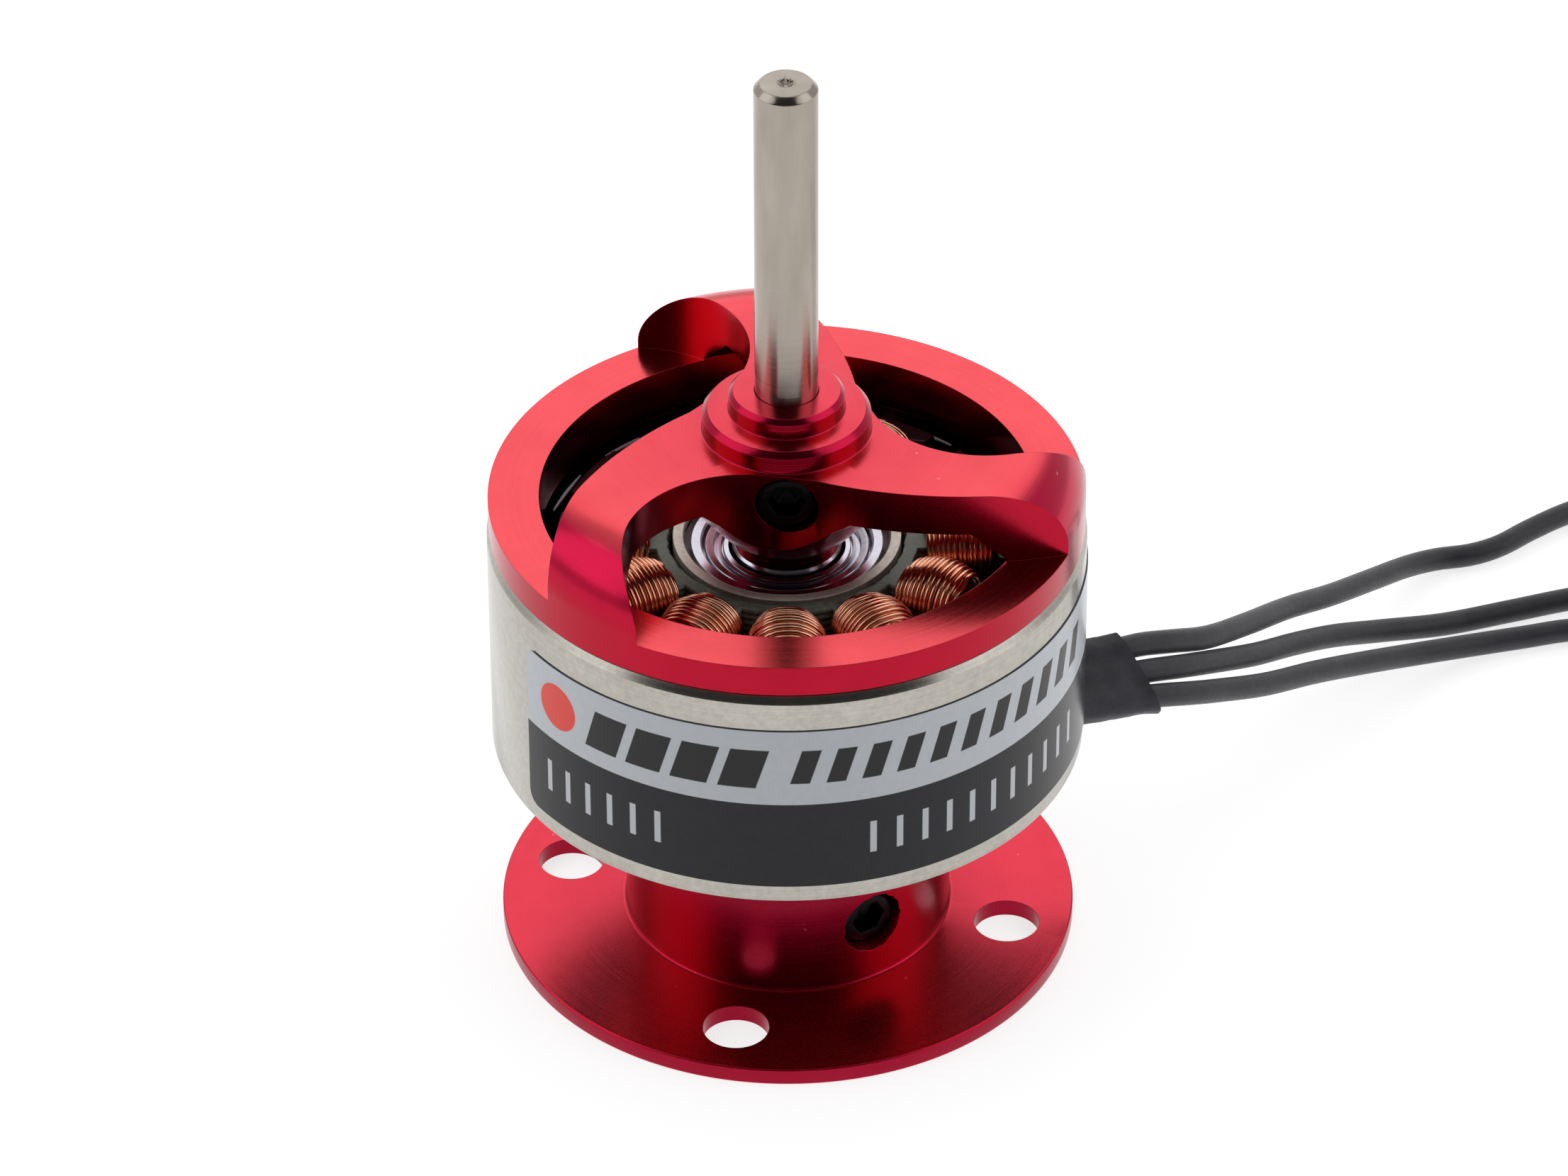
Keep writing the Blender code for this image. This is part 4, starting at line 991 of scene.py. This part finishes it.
def make_stator():
    """Twelve teeth with curved tips; the sheets' upper and lower rims are slightly broken."""
    outline = []
    root = math.degrees(math.asin(TOOTH_HALF / ROOT_R))
    neck = math.degrees(math.asin(TOOTH_HALF / 9.85))
    for k in range(TEETH):
        middle = TOOTH_PITCH_DEG * k
        outline += [polar(ROOT_R, middle - root), polar(9.7, middle - neck), polar(9.95, middle - neck - 0.6),
                    polar(10.25, middle - 10.3), polar(10.4, middle - HEAD_HALF_DEG)]
        outline += arc((0, 0), HEAD_R, middle - HEAD_HALF_DEG, middle + HEAD_HALF_DEG, 9)
        outline += [polar(10.4, middle + HEAD_HALF_DEG), polar(10.25, middle + 10.3),
                    polar(9.95, middle + neck + 0.6), polar(9.7, middle + neck), polar(ROOT_R, middle + root)]
        outline += arc((0, 0), ROOT_R, middle + root, middle + TOOTH_PITCH_DEG - root, 4)[1:-1]
    rng = random.Random(5)
    bore = [polar(STACK_BORE_R + rng.uniform(-0.03, 0.05) + 0.05 * math.sin(k * 0.31), 3 * k)
            for k in range(120)]
    curve = bpy.data.curves.new("stack", "CURVE")
    curve.dimensions = "2D"
    curve.fill_mode = "BOTH"
    curve.extrude = (STATOR_Z[1] - STATOR_Z[0]) / 2 * MM - RIM_BREAK
    curve.bevel_depth = RIM_BREAK
    curve.bevel_resolution = 1
    curve.offset = -RIM_BREAK
    for loop in (outline, bore):
        spline = curve.splines.new("POLY")
        spline.points.add(len(loop) - 1)
        for point, (x, y) in zip(spline.points, loop):
            point.co = (x * MM, y * MM, 0.0, 1.0)
        spline.use_cyclic_u = True
    source = scene_object("stack_curve", curve)
    mesh = evaluated_mesh(source)
    bpy.data.objects.remove(source, do_unlink=True)
    mesh.transform(Matrix.Translation((0, 0, sum(STATOR_Z) / 2 * MM)))
    stack = scene_object("stack", mesh)
    return dress(stack, "lamination_coat", "stator", ["stator_core"], 30)


WIRE_R = 0.122
TURNS = 12                   # in each layer
TURN_STEPS = 32
LAYERS = ((0, 6.62, 9.72), (1, 9.66, 6.68))       # number, first and last radius
WOUND_COILS = 4              # the other coils share their meshes


def loop_point(step, half_wide, half_high, corner, middle_z):
    """Point number step of TURN_STEPS on a rounded rectangle round the tooth, as (across, height)."""
    bend, part = divmod(step, TURN_STEPS // 4)
    across, up = ((1, 1), (1, -1), (-1, -1), (-1, 1))[bend]
    angle = 90 - 90 * bend - 90 * part / (TURN_STEPS // 4 - 1)
    x, z = polar(corner, angle)
    return across * (half_wide - corner) + x, middle_z + up * (half_high - corner) + z


def winding_mesh(name, seed):
    """One coil's wire on the tooth at azimuth 0: two layers wound out and back with small slips."""
    rng = random.Random(seed)
    points = []
    for layer, r_start, r_end in LAYERS:
        slip = [rng.uniform(-0.03, 0.03) for _ in range(TURNS + 2)]
        lift = [rng.uniform(-0.01, 0.06) for _ in range(TURNS + 2)]
        tilt = [rng.uniform(-0.10, 0.10) for _ in range(TURNS + 2)]
        for i in range(TURNS * TURN_STEPS):
            k, step = divmod(i, TURN_STEPS)
            part = step / TURN_STEPS
            ease = part * part * (3 - 2 * part)
            radius = r_start + (r_end - r_start) * (i / (TURNS * TURN_STEPS))
            radius += slip[k] * (1 - ease) + slip[k + 1] * ease
            grown = (radius - 6.6) / 3.1
            belly = math.sin(math.pi * max(0.0, min(1.0, grown)))
            extra = lift[k] * (1 - ease) + lift[k + 1] * ease
            half_wide = 1.26 + 0.12 * layer + 0.20 * grown + 0.34 * belly + extra * 0.5
            half_high = 5.26 + 0.20 * layer + 0.56 * belly + 0.24 * grown * grown + extra
            x, z = loop_point(step, half_wide, half_high, half_wide - 0.12, sum(STATOR_Z) / 2)
            lean = (tilt[k] * (1 - ease) + tilt[k + 1] * ease) * x / half_wide * 0.5
            points.append(Vector((radius + lean * 0.5, x, z)))
    return tube(name, points, WIRE_R, 7)


def make_windings():
    """A coil on each tooth."""
    variants = [winding_mesh("winding_%02d" % (k + 1), 11 + k) for k in range(WOUND_COILS)]
    for k in range(TEETH):
        coil = variants[k % WOUND_COILS]
        if k >= WOUND_COILS:
            coil = scene_object("winding_%02d" % (k + 1), coil.data)
        coil.rotation_euler = (0, 0, math.radians(TOOTH_PITCH_DEG * k))
        dress(coil, "copper_wire", "stator", ["coil_%02d" % (k + 1)], 60)


# ==== CAD nodes that stay

MAGNETS = 14


def paint_kept_nodes():
    """Finishes of the CAD nodes that stay."""
    kept = {"magnet_nickel": ["magnet_%02d" % (k + 1) for k in range(MAGNETS)],
            "shaft_steel": ["shaft_washer"], "black_oxide": ["retaining_clip"],
            "bearing_steel": ["upper_ball_set", "lower_ball_set"]}
    for material, names in kept.items():
        for name in names:
            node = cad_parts[name]
            node.data.materials.clear()
            node.data.materials.append(MATERIALS[material])


# ==== studio

TENT_OPEN_DEG = 25.0         # the opening's height over the horizon, towards -Y
TENT_FADE = {"From Min": 0.35, "From Max": 0.78, "To Min": 0.66, "To Max": 0.04}
FLOOR_DROP = 0.00002         # metres, keeps the floor clear of the flange's underside
LAMP_AIM = (0, 0, 0.02)


def make_world():
    """A light tent: bright behind, above and at the sides, dark towards its open front."""
    world = bpy.data.worlds.new("studio")
    world.use_nodes = True
    bpy.context.scene.world = world
    tree = world.node_tree
    coords = tree.nodes.new("ShaderNodeTexCoord")
    facing = tree.nodes.new("ShaderNodeVectorMath")
    facing.operation = "DOT_PRODUCT"
    opening = math.radians(TENT_OPEN_DEG)
    facing.inputs[1].default_value = Vector((0.0, -math.cos(opening), math.sin(opening)))
    tree.links.new(coords.outputs["Generated"], facing.inputs[0])
    fade = tree.nodes.new("ShaderNodeMapRange")
    fade.interpolation_type = "SMOOTHSTEP"
    for name, value in TENT_FADE.items():
        fade.inputs[name].default_value = value
    tree.links.new(facing.outputs["Value"], fade.inputs["Value"])
    background = tree.nodes["Background"]
    background.inputs["Color"].default_value = (1.0, 1.0, 1.0, 1.0)
    tree.links.new(fade.outputs["Result"], background.inputs["Strength"])


def make_studio():
    """White floor, light tent and three softboxes."""
    shader = Shader("studio_floor")
    tone = shader.mix(shader.noise(3.0, 2.0), (0.49, 0.49, 0.49), (0.51, 0.51, 0.51))
    shader.set(Base_Color=tone, Roughness=0.9, Emission_Color=(1.0, 1.0, 1.0, 1.0), Emission_Strength=0.76,
               Specular_IOR_Level=0.1)
    work = bmesh.new()
    bmesh.ops.create_grid(work, x_segments=1, y_segments=1, size=2.0)
    floor = mesh_object("floor", work)
    floor.location.z = -FLOOR_DROP
    floor.data.materials.append(shader.material)

    make_world()

    def softbox(name, place, size, power, colour=(1.0, 1.0, 1.0)):
        data = bpy.data.lights.new(name, "AREA")
        data.shape = "RECTANGLE"
        data.size, data.size_y = size
        data.energy = power
        data.color = colour
        lamp = scene_object(name, data)
        aim = (Vector(LAMP_AIM) - Vector(place)).to_track_quat("-Z", "Y")
        lamp.matrix_world = Matrix.Translation(Vector(place)) @ aim.to_matrix().to_4x4()

    softbox("back_box", (0.0, 0.9, 0.65), (1.4, 0.7), 1.75)
    softbox("left_box", (-0.8, -0.1, 0.6), (0.8, 0.8), 1.6, (1.0, 0.98, 1.0))
    softbox("right_box", (0.8, -0.15, 0.6), (0.8, 0.8), 1.6)


make_materials()
SLEEVE = make_sleeve()
make_leads()
make_bell()
make_can()
make_label()
make_mount()
make_grub_screw("hub_grub", HUB_SCREW_DEG, HUB_SCREW_SPAN, HUB_SCREW_Z, "hub_set_screw", "rotor")
make_grub_screw("mount_grub", MOUNT_SCREW_DEG, MOUNT_SCREW_SPAN, MOUNT_SCREW_Z, "mount_set_screw", "stator")
make_bearing_tube()
for bearing, bearing_middle in BEARING_MIDDLES.items():
    make_bearing(bearing, bearing_middle)
make_shaft()
make_stator()
make_windings()
paint_kept_nodes()
make_studio()
